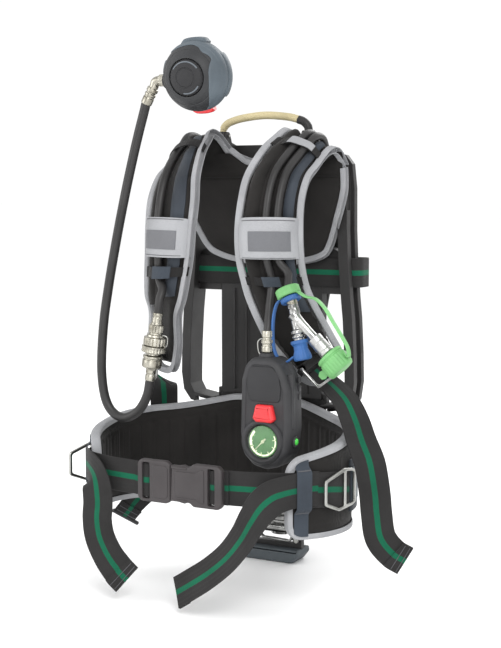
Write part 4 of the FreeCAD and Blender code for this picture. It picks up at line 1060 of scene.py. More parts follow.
def yoke_pad():
    # rows are closer together at the lower edge and the seam
    rows = np.concatenate([np.linspace(489.5, 500, 5), np.linspace(503, 612, 34),
                           [614.5, 616, 617.5, 619, 621.5], np.linspace(626, 654, 9)])
    u = np.linspace(0, 1, 49)
    neck_x, neck_z = zip(*NECK)
    front, back = [], []
    for row_z in rows:
        left, right = -50, 58
        if row_z > 490:
            left = np.interp(min(row_z, 630), YOKE_LEFT[:, 1], YOKE_LEFT[:, 0])
            right = np.interp(min(row_z, 630), YOKE_RIGHT[:, 1], YOKE_RIGHT[:, 0])
        x = left + (right - left) * u
        top = np.interp(x, neck_x, neck_z)
        z = np.minimum(row_z, top)
        depth = np.minimum.reduce([np.ones_like(u), np.minimum(u, 1 - u) * (right - left) / 9.0,
                                   (z - 487.5) / 9.0, (top - z) / 6.0 + 0.05])
        edge = quarter_round(depth) * 0.75 + 0.25
        seam = 1.5 * math.exp(-((row_z - YOKE_SEAM_Z) / 2.2) ** 2)
        rise = math.sin(math.pi * np.clip((row_z - 490) / 128, 0, 1))
        crown = 1.6 * np.sin(math.pi * u) * rise
        middle = yoke_y(z) + 5
        front.append(np.stack([x, middle - (5 + crown - seam) * edge, z], 1))
        back.append(np.stack([x, middle + 4.6 * edge, z], 1))
    ob = new_obj("yoke_pad", np.concatenate(front + back), slab_faces(len(rows), len(u)), "pad",
                 sharp=60)
    # rows cut off by the neck line fall on one another there
    bm = bmesh.new()
    bm.from_mesh(ob.data)
    bmesh.ops.remove_doubles(bm, verts=bm.verts, dist=0.00005)
    bmesh.ops.recalc_face_normals(bm, faces=bm.faces)
    bm.to_mesh(ob.data)
    bm.free()
    shade(ob, 60)
    attach(ob, "frame", "shoulder_yoke")


def yoke_binding(name, edge, side):
    path = resample(np.array([(x, yoke_y(z) + 5, z) for x, z in edge]), 3.5)
    normal = np.array([unit(vec(0, -1, -(yoke_y(z + 2) - yoke_y(z - 2)) / 4.0))
                       for z in path[:, 2]])
    outward = unit(np.cross(tangents(path), normal)) * side
    binding(name, path, outward, normal, width=7.5, half=4.8)


yoke_pad()
yoke_binding("yoke_binding", YOKE_EDGE, -1)
yoke_binding("neck_binding", spline(NECK[1:-1], 6), 1)
seam = np.array([(x, yoke_y(YOKE_SEAM_Z) - 0.6 - 1.6 * math.sin(math.pi * (x + 136) / 276),
                  YOKE_SEAM_Z + 1.0 * math.sin(x * 0.02)) for x in np.linspace(-132, 136, 60)])
sweep("yoke_seam", seam, *twist_free(seam), strip_section(0.55, 1.1), "web_dark",
      body="frame", slot="padding")

# ---------------------------------------------------------------- hoses
COUPLING_TOP = vec(-85, -203, 415)
COUPLING_AXIS = unit(vec(-15, 0, -101))
COUPLING = (COUPLING_TOP, COUPLING_AXIS)


def on_coupling(z):
    return COUPLING_TOP + COUPLING_AXIS * z


# each runs from the reducer up the back, over the shoulder and down the strap's front
GAUGE_BACK = [(37, 40, 66), (41, 40, 66.5), (46.5, 40.5, 69.5), (49.5, 41.5, 77), (50, 42, 92),
              (47, 40, 160), (46, 33, 250), (54, 31, 350), (70, 30, 440), (84, 30, 500),
              (96, 24, 560), (99, 4, 600), (99, -12, 622)]
FILL_BACK = [(37, 42, 47), (44, 42, 47.5), (53, 43.5, 52), (62, 46, 65), (64, 47, 90),
             (62, 42, 160), (62, 34, 250), (69, 31, 350), (85, 30, 440), (99, 30, 500),
             (110, 24, 560), (113, 4, 600), (113, -13, 622)]
SUPPLY_BACK = [(-30.5, 40, 66), (-35.5, 40, 67), (-41, 41, 73), (-44, 42.5, 90), (-43, 40, 160),
               (-48, 33, 250), (-56, 31, 350), (-72, 30, 440), (-88, 30, 500), (-100, 24, 560),
               (-104, 4, 600), (-106, -12, 622)]
hose("gauge_hose_line", [*GAUGE_BACK, *RIGHT_STRAP.point(np.arange(1, 11), 0.46, 7.4),
                         (99, -198, 430), (103, -209, 408), (104, -214, 396)],
     5.7, "hose", body="frame", rep="gauge_hose")
hose("fill_hose_line", [*FILL_BACK, *RIGHT_STRAP.point(np.arange(1, 10), 0.66, 7.6),
                        (121, -183, 480), (127, -194, 464), (130.8, -200.3, 453.6)],
     5.7, "hose", body="frame", rep="fill_hose")
station = np.arange(1, 11)
supply_across = 0.52 + 0.13 * smoothstep(2, 5, station) * (1 - smoothstep(8.2, 10, station))
hose("supply_hose_line", [*SUPPLY_BACK, *LEFT_STRAP.point(station, supply_across, 8.4),
                          (-84, -192, 450), (-83, -200.5, 436), on_coupling(-11),
                          on_coupling(3)],
     6.4, "hose", body="frame", rep="supply_hose")

lathe("gauge_hose_ferrule",
      [(0, 399), (7.0, 399), (7.6, 398), (7.6, 390), (6.6, 389), (6.6, 386.5), (8.4, 385.5),
       (8.4, 381), (6.9, 380), (6.9, 377.5), (8.0, 376.5), (8.0, 369), (7.0, 367.8),
       (4.4, 367), (4.4, 354), (0, 354)],
      "nickel", (104, -214, 0), (0, 0, 1), flute=flutes(6, 0.05, 380.5, 386),
      body="frame", sharp=32)
hose("gauge_wire_loop", [(104, -214, 386), (96, -215.5, 387), (90.5, -216, 383), (90, -216, 376),
                         (91, -215, 368), (93, -214.5, 364)],
     0.9, "steel", step=1.5, sides=8, body="frame")


def crimped(radius, length, groove=0.7):
    """Profile of a ferrule with two crimped grooves."""
    points = [(0.0, 0.0), (radius - 0.6, 0.0), (radius, 0.7)]
    for k in range(2):
        z = length * (0.22 + 0.56 * k)
        points += [(radius, z - 2.2), (radius - groove, z - 1.1), (radius - groove, z + 1.1),
                   (radius, z + 2.2)]
    return points + [(radius, length - 0.9), (radius - 0.8, length), (0.0, length)]


for tag, origin, axis, radius, length in (
        ("gauge", (30, 40, 66), (1, 0.0, 0.05), 7.4, 12),
        ("fill", (33, 42, 47), (1, 0.0, 0.03), 7.4, 13),
        ("supply", (-23.5, 40, 65.8), (-1, 0.0, 0.1), 8.0, 13)):
    lathe("reducer_ferrule_" + tag, crimped(radius, length), "nickel", origin, axis, segs=32,
          body="frame", sharp=32)

# ---------------------------------------------------------------- quick coupling
coarse_grip = flutes(12, 0.10, 18.5, 29.0, power=2)
fine_grip = flutes(16, 0.08, 38.0, 48.5, power=3)
lathe("coupling_socket_body",
      [(6.3, 0), (7.2, 0), (7.6, 0.8), (7.6, 4), (6.9, 5), (6.9, 6.4), (7.6, 7.4), (7.6, 14),
       (8.8, 15.5), (8.8, 17.4), (11.2, 18.4), (11.2, 23.5), (11.2, 29), (9.8, 30.2),
       (9.8, 32.2), (12.6, 33.6), (12.6, 36), (16.6, 37.4), (16.9, 38.2), (16.9, 43),
       (16.9, 48.3), (15.8, 49.6), (13.0, 50.0), (13.0, 56), (13.0, 61.6), (12.2, 62.2),
       (8.7, 62.2), (8.7, 40), (6.3, 38)],
      "nickel", *COUPLING, soft=(0.35, 2), segs=96, sharp=30, body="frame",
      rep="coupling_socket", flute=lambda *at: coarse_grip(*at) * fine_grip(*at))
lathe("coupling_sleeve_ring",
      [(13.15, 50.4), (17.6, 50.4), (18.4, 51.2), (18.4, 52.6), (17.9, 53.2), (17.9, 57.0),
       (18.4, 57.6), (18.4, 59.0), (17.6, 59.8), (13.15, 59.8)],
      "nickel", *COUPLING, soft=(0.3, 2), segs=120, ring=True, sharp=30, body="sleeve",
      rep="coupling_sleeve", flute=flutes(20, 0.05, 51.5, 58.6, power=2, beyond=15))
lathe("coupling_plug_body",
      [(0, 40), (8.3, 40), (8.45, 41), (8.45, 64.6), (14.2, 65), (15, 65.8), (15, 68.4),
       (13.6, 69.4), (13.6, 70.6), (15, 71.6), (15, 81.5), (14, 83.4), (9.2, 84.2), (8.6, 86),
       (7.8, 87), (7.8, 92), (7.0, 93), (7.0, 94.6), (7.8, 95.6), (7.8, 103), (7.2, 104),
       (0, 104)],
      "nickel", *COUPLING, soft=(0.35, 2), segs=96, sharp=30, body="demand_hose",
      rep="coupling_plug", flute=flutes(12, 0.06, 72, 81, power=2))
guard_side = unit(np.cross(COUPLING_AXIS, vec(0, 1, 0)))
guard_up = np.cross(COUPLING_AXIS, guard_side)
for k, side in enumerate((1, -1)):
    out = guard_side * 14.6 * side + guard_up * 14.6 * -0.35
    # wire over the socket: (height on the axis, reach outwards)
    hose("coupling_guard_%d" % k,
         [on_coupling(z) + out * reach for z, reach in
          ((33, 0.62), (33.4, 0.98), (36, 1.22), (46, 1.26), (49.4, 1.16), (49.6, 0.8))],
         1.0, "steel", step=1.5, sides=8, body="frame")

hose("regulator_hose_line",
     [on_coupling(100), on_coupling(106), (-105, -203, 290), (-116, -203, 270),
      (-131, -203, 257), (-149, -203, 251.5), (-167, -203, 258), (-180, -203, 276),
      (-186.5, -203, 307), (-187, -203, 346), (-182, -203, 400), (-174, -203, 446),
      (-164.6, -203, 492), (-151, -203, 552), (-136, -203, 612), (-119.7, -203, 671),
      (-107, -203, 712), (-103.5, -203, 724)],
     7.1, "hose", body="demand_hose", rep="regulator_hose")
ELBOW_AXIS = unit(vec(-13.5, 0, -24))
ELBOW_END = vec(-90.5, -203, 746.5)
lathe("regulator_ferrule",
      [(0, -0.3), (7.0, -0.3), (8.6, 0.6), (8.6, 5.4), (7.2, 6.6), (7.2, 8.2), (8.4, 9.0),
       (8.4, 12), (7.7, 13), (7.7, 15), (8.4, 16), (8.4, 25), (7.6, 26.2), (0, 26.2)],
      "nickel", ELBOW_END, ELBOW_AXIS, soft=(0.35, 2), segs=72,
      flute=flutes(6, 0.06, 0.5, 6), body="demand_hose", sharp=30)

# ---------------------------------------------------------------- hose elbow
SWIVEL = ((0, -203, 757), (1, 0, 0))


def elbow_tube():
    points = [ELBOW_END - ELBOW_AXIS * 0.2, ELBOW_END - ELBOW_AXIS * 5, (-87.3, -203, 754.6),
              (-82.5, -203, 757), (-76, -203, 757), (-60, -203, 757)]
    path = resample(spline(points, 8), 1.2)
    turn = np.linspace(0, 2 * np.pi, 28, endpoint=False)
    radius = np.where(path[:, 0] < -74, 6.8, 6.35)[:, None]
    section = np.stack([np.cos(turn) * radius, np.sin(turn) * radius], 2)
    sweep("elbow_tube", path, *twist_free(path), section, "nickel", body="elbow",
          rep="hose_elbow", sharp=40)


elbow_tube()
lathe("elbow_collar", [(6.0, -78.6), (8.4, -78.6), (8.9, -77.8), (8.9, -71.2), (8.3, -70.3),
                       (6.0, -70.3)],
      "nickel", *SWIVEL, segs=72, ring=True, flute=flutes(18, 0.05, power=2, beyond=8),
      body="elbow", sharp=30)

# ---------------------------------------------------------------- demand regulator
REG_CENTRE = vec(-16, -203, 761)
REG_AXIS = unit(vec(0.078, -0.987, -0.136))
REG_RIGHT = square_to(vec(1, 0, 0), REG_AXIS)
REG_UP = np.cross(REG_AXIS, REG_RIGHT)
REGULATOR = (REG_CENTRE, REG_AXIS, REG_RIGHT)
SHELL_R = 50.4


def reg_ring(angle, radii, heights):
    """Points of a radial section at one angle (radians) round the regulator's axis."""
    radii, heights = np.asarray(radii)[:, None], np.asarray(heights)[:, None]
    return (REG_CENTRE + REG_RIGHT * (radii * math.cos(angle))
            + REG_UP * (radii * math.sin(angle)) + REG_AXIS * heights)


lathe("regulator_shell",
      [(18, -46), (21.6, -46), (22.5, -45.2), (22.5, -36.5), (20.9, -35.6), (20.9, -33),
       (22.5, -32), (22.5, -30.6), (38, -27), (46.5, -17.5), (50.4, -5), (50.4, 2.2),
       (49.4, 3.0), (47.2, 3.0), (46.5, -4.5), (43.6, -14.5), (36, -22.5), (18, -25.6)],
      "reg_slate", *REGULATOR, soft=(0.7, 3), segs=96, ring=True, body="regulator",
      rep="regulator_housing", sharp=32)
lathe("regulator_boss",
      [(7.0, -68.6), (11.4, -68.6), (12.5, -67.6), (12.5, -62), (11.6, -61), (11.6, -59.4),
       (12.8, -58.4), (13.6, -50), (13.6, -46.8), (7.0, -46.8)],
      "reg", *SWIVEL, soft=(0.5, 3), segs=56, ring=True, body="regulator", sharp=32)


def shell_patch(name, start, end, low, high, lift, count=16):
    """Raised pad round the rim between two angles, lower at its ends."""
    section = [(0, low), (lift * 0.7, low + 0.2), (lift, low + 1.4), (lift, high - 1.4),
               (lift * 0.7, high - 0.2), (0, high), (-2.5, high), (-2.5, low)]
    heights = [z for _, z in section]
    rings = []
    for i, angle in enumerate(np.radians(np.linspace(start, end, count))):
        ease = min(1.0, min(i, count - 1 - i) / 2.0 * 0.6 + 0.35)
        radii = [SHELL_R + (rise * ease if rise > 0 else rise) for rise, _ in section]
        rings.append(reg_ring(angle, radii, heights))
    tube(name, rings, "reg_slate", sharp=45, body="regulator")


shell_patch("regulator_top_tab", 68, 113, -14, 4.0, lift=5.0)
shell_patch("regulator_left_tab", 150, 176, -13, 4.0, lift=3.4)
shell_patch("regulator_right_rib", -38, 38, -11, 1.5, lift=1.6, count=30)

# (angle, inner radius) of the raised skin's inner edge
CHEEK_EDGE = [(-70, 49.0), (-62, 47.0), (-50, 42.5), (-36, 37.5), (-18, 34.4), (0, 33.6),
              (14, 34.6), (26, 38.0), (34, 42.0), (44, 42.2), (54, 40.8), (62, 41.6),
              (70, 43.8), (84, 45.0), (100, 44.6), (116, 45.2), (128, 47.4), (134, 49.0)]
# (radius, height) of the front cover under the skin
COVER_TOP = [(28.6, 35.6), (31, 34.2), (33.4, 32.8), (36, 30.4), (38.8, 27.2), (40.2, 25.8),
             (43.6, 21.5), (46.3, 16.6), (46.9, 13.6), (47.6, 12.6), (49.3, 8.4), (50.0, 4.4),
             (50.4, 2.0)]


def cheek():
    """Raised slate skin over part of the front cover."""
    count = 22
    k = np.arange(count)
    rise = 1.15 * np.minimum(1.0, np.minimum(0.25 + k / 2.5, 0.5 + (count - 1 - k) / 2.5)) * 0.75
    cover_r, cover_z = zip(*COVER_TOP)
    rings = []
    for angle, inner in spline(CHEEK_EDGE, 5):
        r = np.linspace(min(max(inner, 28.7), 49.2), SHELL_R, count)
        z = np.interp(r, cover_r, cover_z)
        rings.append(reg_ring(math.radians(angle), np.append(r + rise, (r - 0.5)[::-1]),
                              np.append(z + rise, (z - 0.5)[::-1])))
    tube("regulator_cheek", rings, "reg_slate", caps="-+", sharp=40, body="regulator")


cheek()
lathe("regulator_front_cover",
      [(46.8, 3.2), (49.6, 3.3), (50.0, 4.4), (49.3, 8.4), (47.6, 12.6), (46.9, 13.0),
       (46.9, 14.0), (46.3, 16.6), (43.6, 21.5), (40.2, 25.8), (39.2, 25.9), (38.8, 27.2),
       (36, 30.4), (33.4, 32.8), (31, 34.2), (28.6, 35.6), (27.2, 35.6), (26.9, 33.4),
       (31.5, 30.2), (38, 23.8), (43.4, 15.4), (46.1, 8)],
      "reg", *REGULATOR, soft=(0.5, 3), segs=96, ring=True, body="regulator",
      rep="regulator_cover", sharp=30)

CAP_SLOPE = [(19.5, 39.8), (23.6, 37.8)]       # (radius, height) of the cap's outer slope


def cap_ribs(turn, z, radius):
    return 1.0 + (0.012 * math.cos(28 * turn) if 22.5 < radius < 26.5 and 31 < z < 37.5 else 0.0)


lathe("regulator_push_cap",
      [(0, 41.6), (8, 41.4), (12.5, 40.7), (13.3, 39.9), (14.3, 39.9), (15.2, 40.7), *CAP_SLOPE,
       (25.6, 35.4), (26.2, 33), (26.2, 29.8), (0, 29.6)],
      "cap_rubber", *REGULATOR, soft=(0.5, 3), segs=112, flute=cap_ribs, body="cap",
      rep="push_cap", sharp=40)


def cap_highlight_arc(name, start, end, inner=21.6, outer=23.4, height=0.45):
    """Raised arc on the cap's outer slope, in a pale colour that is a painted rim highlight."""
    radii = [inner, inner, inner + 0.4, outer - 0.4, outer, outer]
    rises = [-0.5, height * 0.6, height, height, height * 0.6, -0.5]
    heights = np.interp(radii, *zip(*CAP_SLOPE)) + rises
    rings = [reg_ring(angle, radii, heights) for angle in np.radians(np.linspace(start, end, 20))]
    tube(name, rings, "arc", sharp=40, body="cap")


cap_highlight_arc("cap_highlight_arc_upper", 34, 146)
cap_highlight_arc("cap_highlight_arc_lower", 258, 326)


def release_button():
    """Curved red paddle under the rim, lower at its two ends."""
    base = 46.0
    radii = np.array([46.0, 51.6, 54.2, 55.0, 54.6, 53.4, 51.4, 46.0])
    heights = [-17.6, -18.0, -16.6, -13.5, -8.0, -5.0, -4.2, -4.2]
    rings = []
    for i, angle in enumerate(np.radians(np.linspace(-104, -68, 15))):
        ease = 1 - 0.9 * max(0, abs(i - 7) - 5) / 14.0
        rings.append(reg_ring(angle, base + (radii - base) * ease, heights))
    tube("regulator_release_button", rings, "red", sharp=45, body="release",
         rep="release_button")


release_button()

# ---------------------------------------------------------------- console
# (x, z) outline
CONSOLE = fillet([(90, 362), (122, 362), (134, 355), (143.5, 339), (150, 318), (151, 262),
                  (147, 226), (132, 207), (112, 202), (92, 207), (76, 222), (71, 252),
                  (73, 330), (79, 350)], 16, 5)
GAUGE_X, GAUGE_Z, DIAL_R = 108.3, 242.6, 23.0
GAUGE = ((GAUGE_X, 0, GAUGE_Z), (0, -1, 0))
# (x, z) of the alarm button's opening
BUTTON = [(99, 296.5), (125, 296.5), (130, 276), (125, 270.5), (99, 270.5), (94, 276)]


def console_front():
    """Front shell with wells for the gauge and the alarm button; depth runs along -Y."""
    # (inset, depth) from the parting line to the front face
    levels = [(0.35, 214.05), (0.0, 214.5), (0.0, 228.5), (0.35, 231.2), (1.3, 233.6),
              (2.8, 235.7), (4.8, 237.2), (7.0, 237.9), (8.6, 237.9), (9.4, 237.5),
              (9.9, 236.6), (10.6, 236.2)]
    face, floor = 236.2, 229.5
    verts, faces = [], []

    def put(outline, depth):
        first = len(verts)
        verts.extend((x, -depth, z) for x, z in outline)
        return list(range(first, len(verts)))

    rim = ccw(CONSOLE)
    rows = [put(offset(rim, inset), depth) for inset, depth in levels]
    for row, after in zip(rows, rows[1:]):
        for i in range(len(row)):
            j = (i + 1) % len(row)
            faces.append((row[i], row[j], after[j], after[i]))
    loops = [rows[-1]]
    for hole in (circle(GAUGE_X, GAUGE_Z, DIAL_R + 1.2), fillet(BUTTON, 3.5, 3)):
        hole = ccw(hole)
        mouth = put(hole, face)
        bottom = put(hole, floor)
        for i in range(len(mouth)):
            j = (i + 1) % len(mouth)
            faces.append((mouth[i], bottom[i], bottom[j], mouth[j]))
        faces.append(tuple(bottom))
        loops.append(mouth)
    flat = [i for loop in loops for i in loop]
    for triangle in tessellate_polygon([[Vector((verts[i][0], verts[i][2], 0)) for i in loop]
                                        for loop in loops]):
        faces.append(tuple(flat[i] for i in triangle))
    faces.append(tuple(rows[0][::-1]))
    new_obj("console_front_cover", verts, faces, "console", sharp=35, body="console",
            rep="console_front")


console_front()
prism("console_rear_cover", CONSOLE, 193.0, 213.9, "console", low_r=6.0, high_r=0.4, steps=5,
      sharp=35, body="console", rep="console_rear")
prism("console_face_panel",
      fillet([(88, 350), (124, 350), (134, 338), (137, 318), (135, 300), (88, 300), (84, 318),
              (84, 338)], 7, 4),
      236.0, 237.4, "console_in", low_r=0.2, high_r=0.8, body="console")
lathe("console_hose_socket",
      [(4.7, 352), (11, 352), (11.4, 354), (11.4, 362.5), (10.2, 366.4), (8.6, 367.2),
       (4.7, 367.2)],
      "console", (104, -214, 0), (0, 0, 1), soft=(0.8, 3), ring=True, body="console", sharp=40)
for k, z in enumerate((330, 318, 306)):
    prism("console_side_slot_%d" % k, fillet(box(-208, -200, z - 4.4, z + 4.4), 2, 3),
          148.6, 151.6, "console_in", right=(0, 1, 0), low_r=0.2, high_r=0.6, body="console")
prism("console_side_rib",
      fillet([(-229, 338), (-226, 342), (-222.6, 338), (-222.6, 264), (-226, 260),
              (-229, 264)], 1.5, 3),
      144, 152.4, "console", right=(0, 1, 0), low_r=0.3, high_r=1.6, body="console")
lathe("gauge_bezel",
      [(24.3, 230), (33.5, 230), (33.9, 233), (33.2, 237.6), (31.0, 240.6), (28.2, 241.6),
       (26.2, 241.0), (24.6, 239.0), (24.3, 237)],
      "console", *GAUGE, soft=(0.9, 3), segs=72, ring=True, body="console", sharp=40)
lathe("gauge_dial_face",
      [(1.6, 235.7), (22.6, 235.7), (DIAL_R, 235.3), (DIAL_R, 232.6), (1.6, 232.6)],
      "dial", *GAUGE, soft=(0.2, 2), segs=72, ring=True, body="console", rep="gauge_dial",
      sharp=40)

# luminous bars: (start angle, end angle, inner radius)
SCALE_BARS = [(132, 150, 17.4), (153, 176, 17.8), (179, 200, 17.2), (203, 232, 18.0),
              (235, 262, 18.3), (265, 300, 18.6), (303, 336, 18.9), (339, 368, 19.2),
              (371, 388, 19.4)]
SCALE_TICKS = (150, 178, 205, 234, 262, 300, 336, 371)


def scale_piece(start, end, inner, outer):
    count = max(int(abs(end - start) / 5), 2)
    rings = []
    for k in range(count + 1):
        a = math.radians(start + (end - start) * k / count)
        rings.append([(GAUGE_X + r * math.cos(a), -depth, GAUGE_Z + r * math.sin(a))
                      for r, depth in ((inner, 235.6), (outer, 235.6), (outer, 236.1),
                                       (inner, 236.1))])
    return tube("s", rings, "glow", sharp=30)


def luminous_scale():
    """All the bars and ticks as one mesh."""
    pieces = [scale_piece(start, end, inner, 20.9) for start, end, inner in SCALE_BARS]
    pieces += [scale_piece(a - 1.1, a + 1.1, 15.6, 20.0) for a in SCALE_TICKS]
    bm = bmesh.new()
    for piece in pieces:
        bm.from_mesh(piece.data)
    mesh = bpy.data.meshes.new("gauge_luminous_scale")
    bm.to_mesh(mesh)
    bm.free()
    slot, material = FINISHES["glow"]
    mesh.materials.append(material)
    for piece in pieces:
        bpy.data.objects.remove(piece)
    attach(link("gauge_luminous_scale", mesh), "console")


luminous_scale()
lathe("gauge_window", [(0, 237.5), (22.9, 237.4), (23.2, 237.6), (23.2, 238.4), (22.4, 239.1),
                       (0, 239.5)],
      "lens", *GAUGE, soft=(0.2, 2), segs=72, body="console", rep="gauge_lens", sharp=50)
button_x, button_z, button_fit = 112, 283.5, 0.965     # centre, and size against its opening
prism("alarm_push_button",
      fillet([(button_x + (x - button_x) * button_fit, button_z + (z - button_z) * button_fit)
              for x, z in BUTTON], 4.0, 4),
      233.0, 244.6, "red", low_r=0.3, high_r=5.2, steps=6, sharp=40, body="alarm",
      rep="alarm_button")
SIDE_LIGHT = ((0, -216, 243), (1, 0, 0))
lathe("side_light_button", [(0, 146.2), (4.9, 146.2), (5.0, 147), (5.0, 151.4), (4.3, 152.8),
                            (2.4, 153.8), (0, 154.1)],
      "gem", *SIDE_LIGHT, soft=(0.4, 3), segs=36, body="side_key", rep="side_button", sharp=50)
lathe("side_light_rim", [(5.3, 148), (7.6, 148), (8.0, 150.6), (7.2, 152.2), (5.9, 152.4),
                         (5.3, 151.6)],
      "console", *SIDE_LIGHT, soft=(0.5, 3), segs=36, ring=True, body="console", sharp=50)

# ---------------------------------------------------------------- two-way connector, dust caps
BLUE_LEG, BLUE_AXIS = vec(137, -202, 440), unit(vec(0.236, -0.037, -0.97))
GREEN_LEG, GREEN_AXIS = vec(141, -203, 421), unit(vec(0.70, 0.05, -0.71))
NECK_TOP, NECK_AXIS = vec(131.5, -200.5, 451), unit(vec(5.5, -1.5, -11))
lathe("connector_neck", [(0, -8), (7.6, -8), (8.4, -7), (8.4, 10), (7.6, 14), (7.2, 18),
                         (0, 18)],
      "nickel", NECK_TOP, NECK_AXIS, soft=(0.5, 3), body="frame", rep="manifold_body", sharp=32)
lathe("connector_leg_blue",
      [(0, 2), (7.2, 2), (8.0, 4), (8.0, 9), (7.0, 10.4), (6.5, 30), (6.7, 39), (8.6, 40.2),
       (9.3, 41), (9.3, 45), (8.2, 46.2), (7.6, 47.4), (9.0, 48.6), (9.0, 51), (7.3, 52.2),
       (7.3, 62), (0, 62)],
      "chrome", BLUE_LEG, BLUE_AXIS, soft=(0.4, 3), segs=64, body="frame", slot="nickel",
      sharp=32)
lathe("connector_leg_green",
      [(0, -3), (8.2, -3), (8.2, 4), (7.4, 8), (6.9, 16), (6.9, 38), (7.4, 44), (7.4, 47),
       (0, 47)],
      "chrome", GREEN_LEG, GREEN_AXIS, soft=(0.6, 3), segs=64, body="frame", slot="nickel",
      sharp=32)
lathe("connector_coupling",
      [(6, 42.5), (9.8, 42.8), (10.9, 43.8), (10.9, 52), (10.3, 53), (10.9, 54), (10.9, 66),
       (10.3, 67), (10.9, 68), (10.9, 71.5), (10, 72.8), (7.6, 73.4), (7.4, 83.6), (0, 84)],
      "alu", GREEN_LEG, GREEN_AXIS, soft=(0.4, 3), segs=80,
      flute=flutes(18, 0.035, 54.5, 65.5, power=2), body="frame", sharp=32)
hose("connector_fork", [BLUE_LEG + BLUE_AXIS * 6, BLUE_LEG + BLUE_AXIS * 14 + vec(2, 0, 0),
                        GREEN_LEG + GREEN_AXIS * 2, GREEN_LEG + GREEN_AXIS * 12],
     7.3, "chrome", step=1.5, sides=24, body="frame", slot="nickel")


def cap_collar(finish, low, high, outer, inner=8.2):
    """Collar round the connector neck that holds a dust cap's tether."""
    lathe(finish + "_collar",
          [(inner, low), (outer - 1.6, low), (outer, low + 1.6), (outer, high - 1.6),
           (outer - 1.6, high), (inner, high)],
          finish, NECK_TOP, NECK_AXIS, soft=(0.9, 3), segs=72, ring=True, body="frame", sharp=50,
          flute=lambda turn, z, radius: 1 + (0.02 * math.cos(22 * turn)
                                             if radius > outer - 1.2 else 0))


cap_collar("green", -9.5, 3.5, 17.6)
cap_collar("blue", 4.6, 12.0, 15.0)


def tether(finish, points, width, thick):
    """Flat tether curving from the frame to its dust cap."""
    path = resample(spline(points, 10), 1.5)
    along = tangents(path)
    across = vec(0, 1, 0)
    side = unit(across - along * (along @ across)[:, None])
    ob = sweep(finish + "_tether", path, side, np.cross(along, side),
               strip_section(width / 2, thick, thick * 0.45), finish, sharp=60)
    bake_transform(ob)


GREEN_CAP = GREEN_LEG + GREEN_AXIS * 74.5
BLUE_CAP = BLUE_LEG + BLUE_AXIS * 55
green_side = unit(np.cross(GREEN_AXIS, vec(0, -1, 0)))     # towards +X
if green_side[0] < 0:
    green_side = -green_side
tether("green", [NECK_TOP + NECK_AXIS * -3 + vec(14, -2, 3), (160, -205, 449), (176, -206, 446),
                 (190, -206, 434), (203, -206, 415), (216, -206, 396), (225, -205, 380),
                 (226, -204, 368), GREEN_CAP + GREEN_AXIS * 12 + green_side * 20.5],
       width=9.0, thick=3.0)
tether("blue", [NECK_TOP + NECK_AXIS * 8 + vec(-13.5, -2, 0), (115, -206, 436),
                (111.5, -208, 420), (110.5, -209, 400), (111.5, -209, 378), (117, -209, 362),
                (128, -208, 353.5), BLUE_CAP + BLUE_AXIS * 24 + vec(-11.5, -2, 0)],
       width=7.5, thick=2.8)
lathe("blue_dust_cap",
      [(8.1, 0), (12.0, 0), (12.9, 1.2), (12.9, 4.6), (11.4, 6), (10.2, 8), (10.2, 14),
       (11.2, 16.5), (12.6, 21), (13.2, 24.6), (12.8, 27.6), (10.5, 29), (0, 29), (0, 12),
       (8.1, 12)],
      "blue", BLUE_CAP, BLUE_AXIS, soft=(0.9, 3), segs=84, body="dust_cap_blue",
      flute=flutes(14, 0.05, 8, 27, power=2, beyond=9.5), rep="blue_cap", sharp=40)
lathe("green_dust_cap",
      [(8.4, 0), (18.6, 0), (20.4, 1.4), (20.4, 4.4), (19.0, 5.6), (19.0, 7.0), (20.6, 8.2),
       (20.6, 26.0), (18.6, 29.4), (15, 30), (0, 30), (0, 12.9), (8.4, 12.9)],
      "green", GREEN_CAP, GREEN_AXIS, soft=(0.9, 3), segs=132, body="dust_cap_green",
      flute=flutes(22, 0.035, 8, 26.5, power=2, beyond=17), rep="green_cap", sharp=40)
prism("green_cap_tab",
      fillet([(-5, -21), (5, -21), (6.5, -28), (3.5, -33), (-3.5, -33), (-6.5, -28)], 2, 3),
      -1.6, 1.6, "green", origin=GREEN_CAP + GREEN_AXIS * 15, right=GREEN_AXIS, up=green_side,
      low_r=0.8, high_r=0.8, body="dust_cap_green")

# ---------------------------------------------------------------- hip belt
BELT_Y = -166.0                # centre of the belt's ellipse; angle 0 is its back, at +Y
BELT_END = 127.0               # degrees
BELT_CORNER = 20.0             # corner radius of the belt's ends
MM_PER_DEG = 3.1               # arc length near the ends
BELT_MID = 6.5                 # middle of the pad's thickness, out from the ellipse
# (angle, z) of the upper edge, the lower edge and the webbing's middle
BELT_TOP = spline([(0, 268), (15, 268), (22, 264), (33, 257), (45, 252), (60, 250), (78, 245),
                   (94, 238), (107, 233), (120, 227), (127, 221)], 4)
BELT_BOTTOM = spline([(0, 104), (40, 104), (80, 108), (107, 111), (120, 113), (127, 114)], 4)
WEB_HEIGHT = [(0, 164), (60, 164), (84, 168), (104, 178), (122, 184), (130, 184)]
for table in (BELT_TOP, BELT_BOTTOM):
    table[:, 0] = np.maximum.accumulate(table[:, 0])


def belt_xy(out, angle):
    """Point of the belt's ellipse grown by `out`; angle in degrees."""
    r = np.radians(angle)
    return (192 + out) * np.sin(r), BELT_Y + (150 + out) * np.cos(r)


def belt_z(table, angle):
    return float(np.interp(angle, table[:, 0], table[:, 1]))


def web_z(angle):
    return float(np.interp(abs(angle), *zip(*WEB_HEIGHT)))


def belt_edges(angle):
    """Lower and upper z, with the ends' corners rounded off."""
    top, bottom = belt_z(BELT_TOP, abs(angle)), belt_z(BELT_BOTTOM, abs(angle))
    left = (BELT_END - abs(angle)) * MM_PER_DEG
    if left < BELT_CORNER:
        cut = BELT_CORNER - math.sqrt(max(BELT_CORNER ** 2 - (BELT_CORNER - left) ** 2, 0))
        top -= cut
        bottom += cut
    return bottom, top


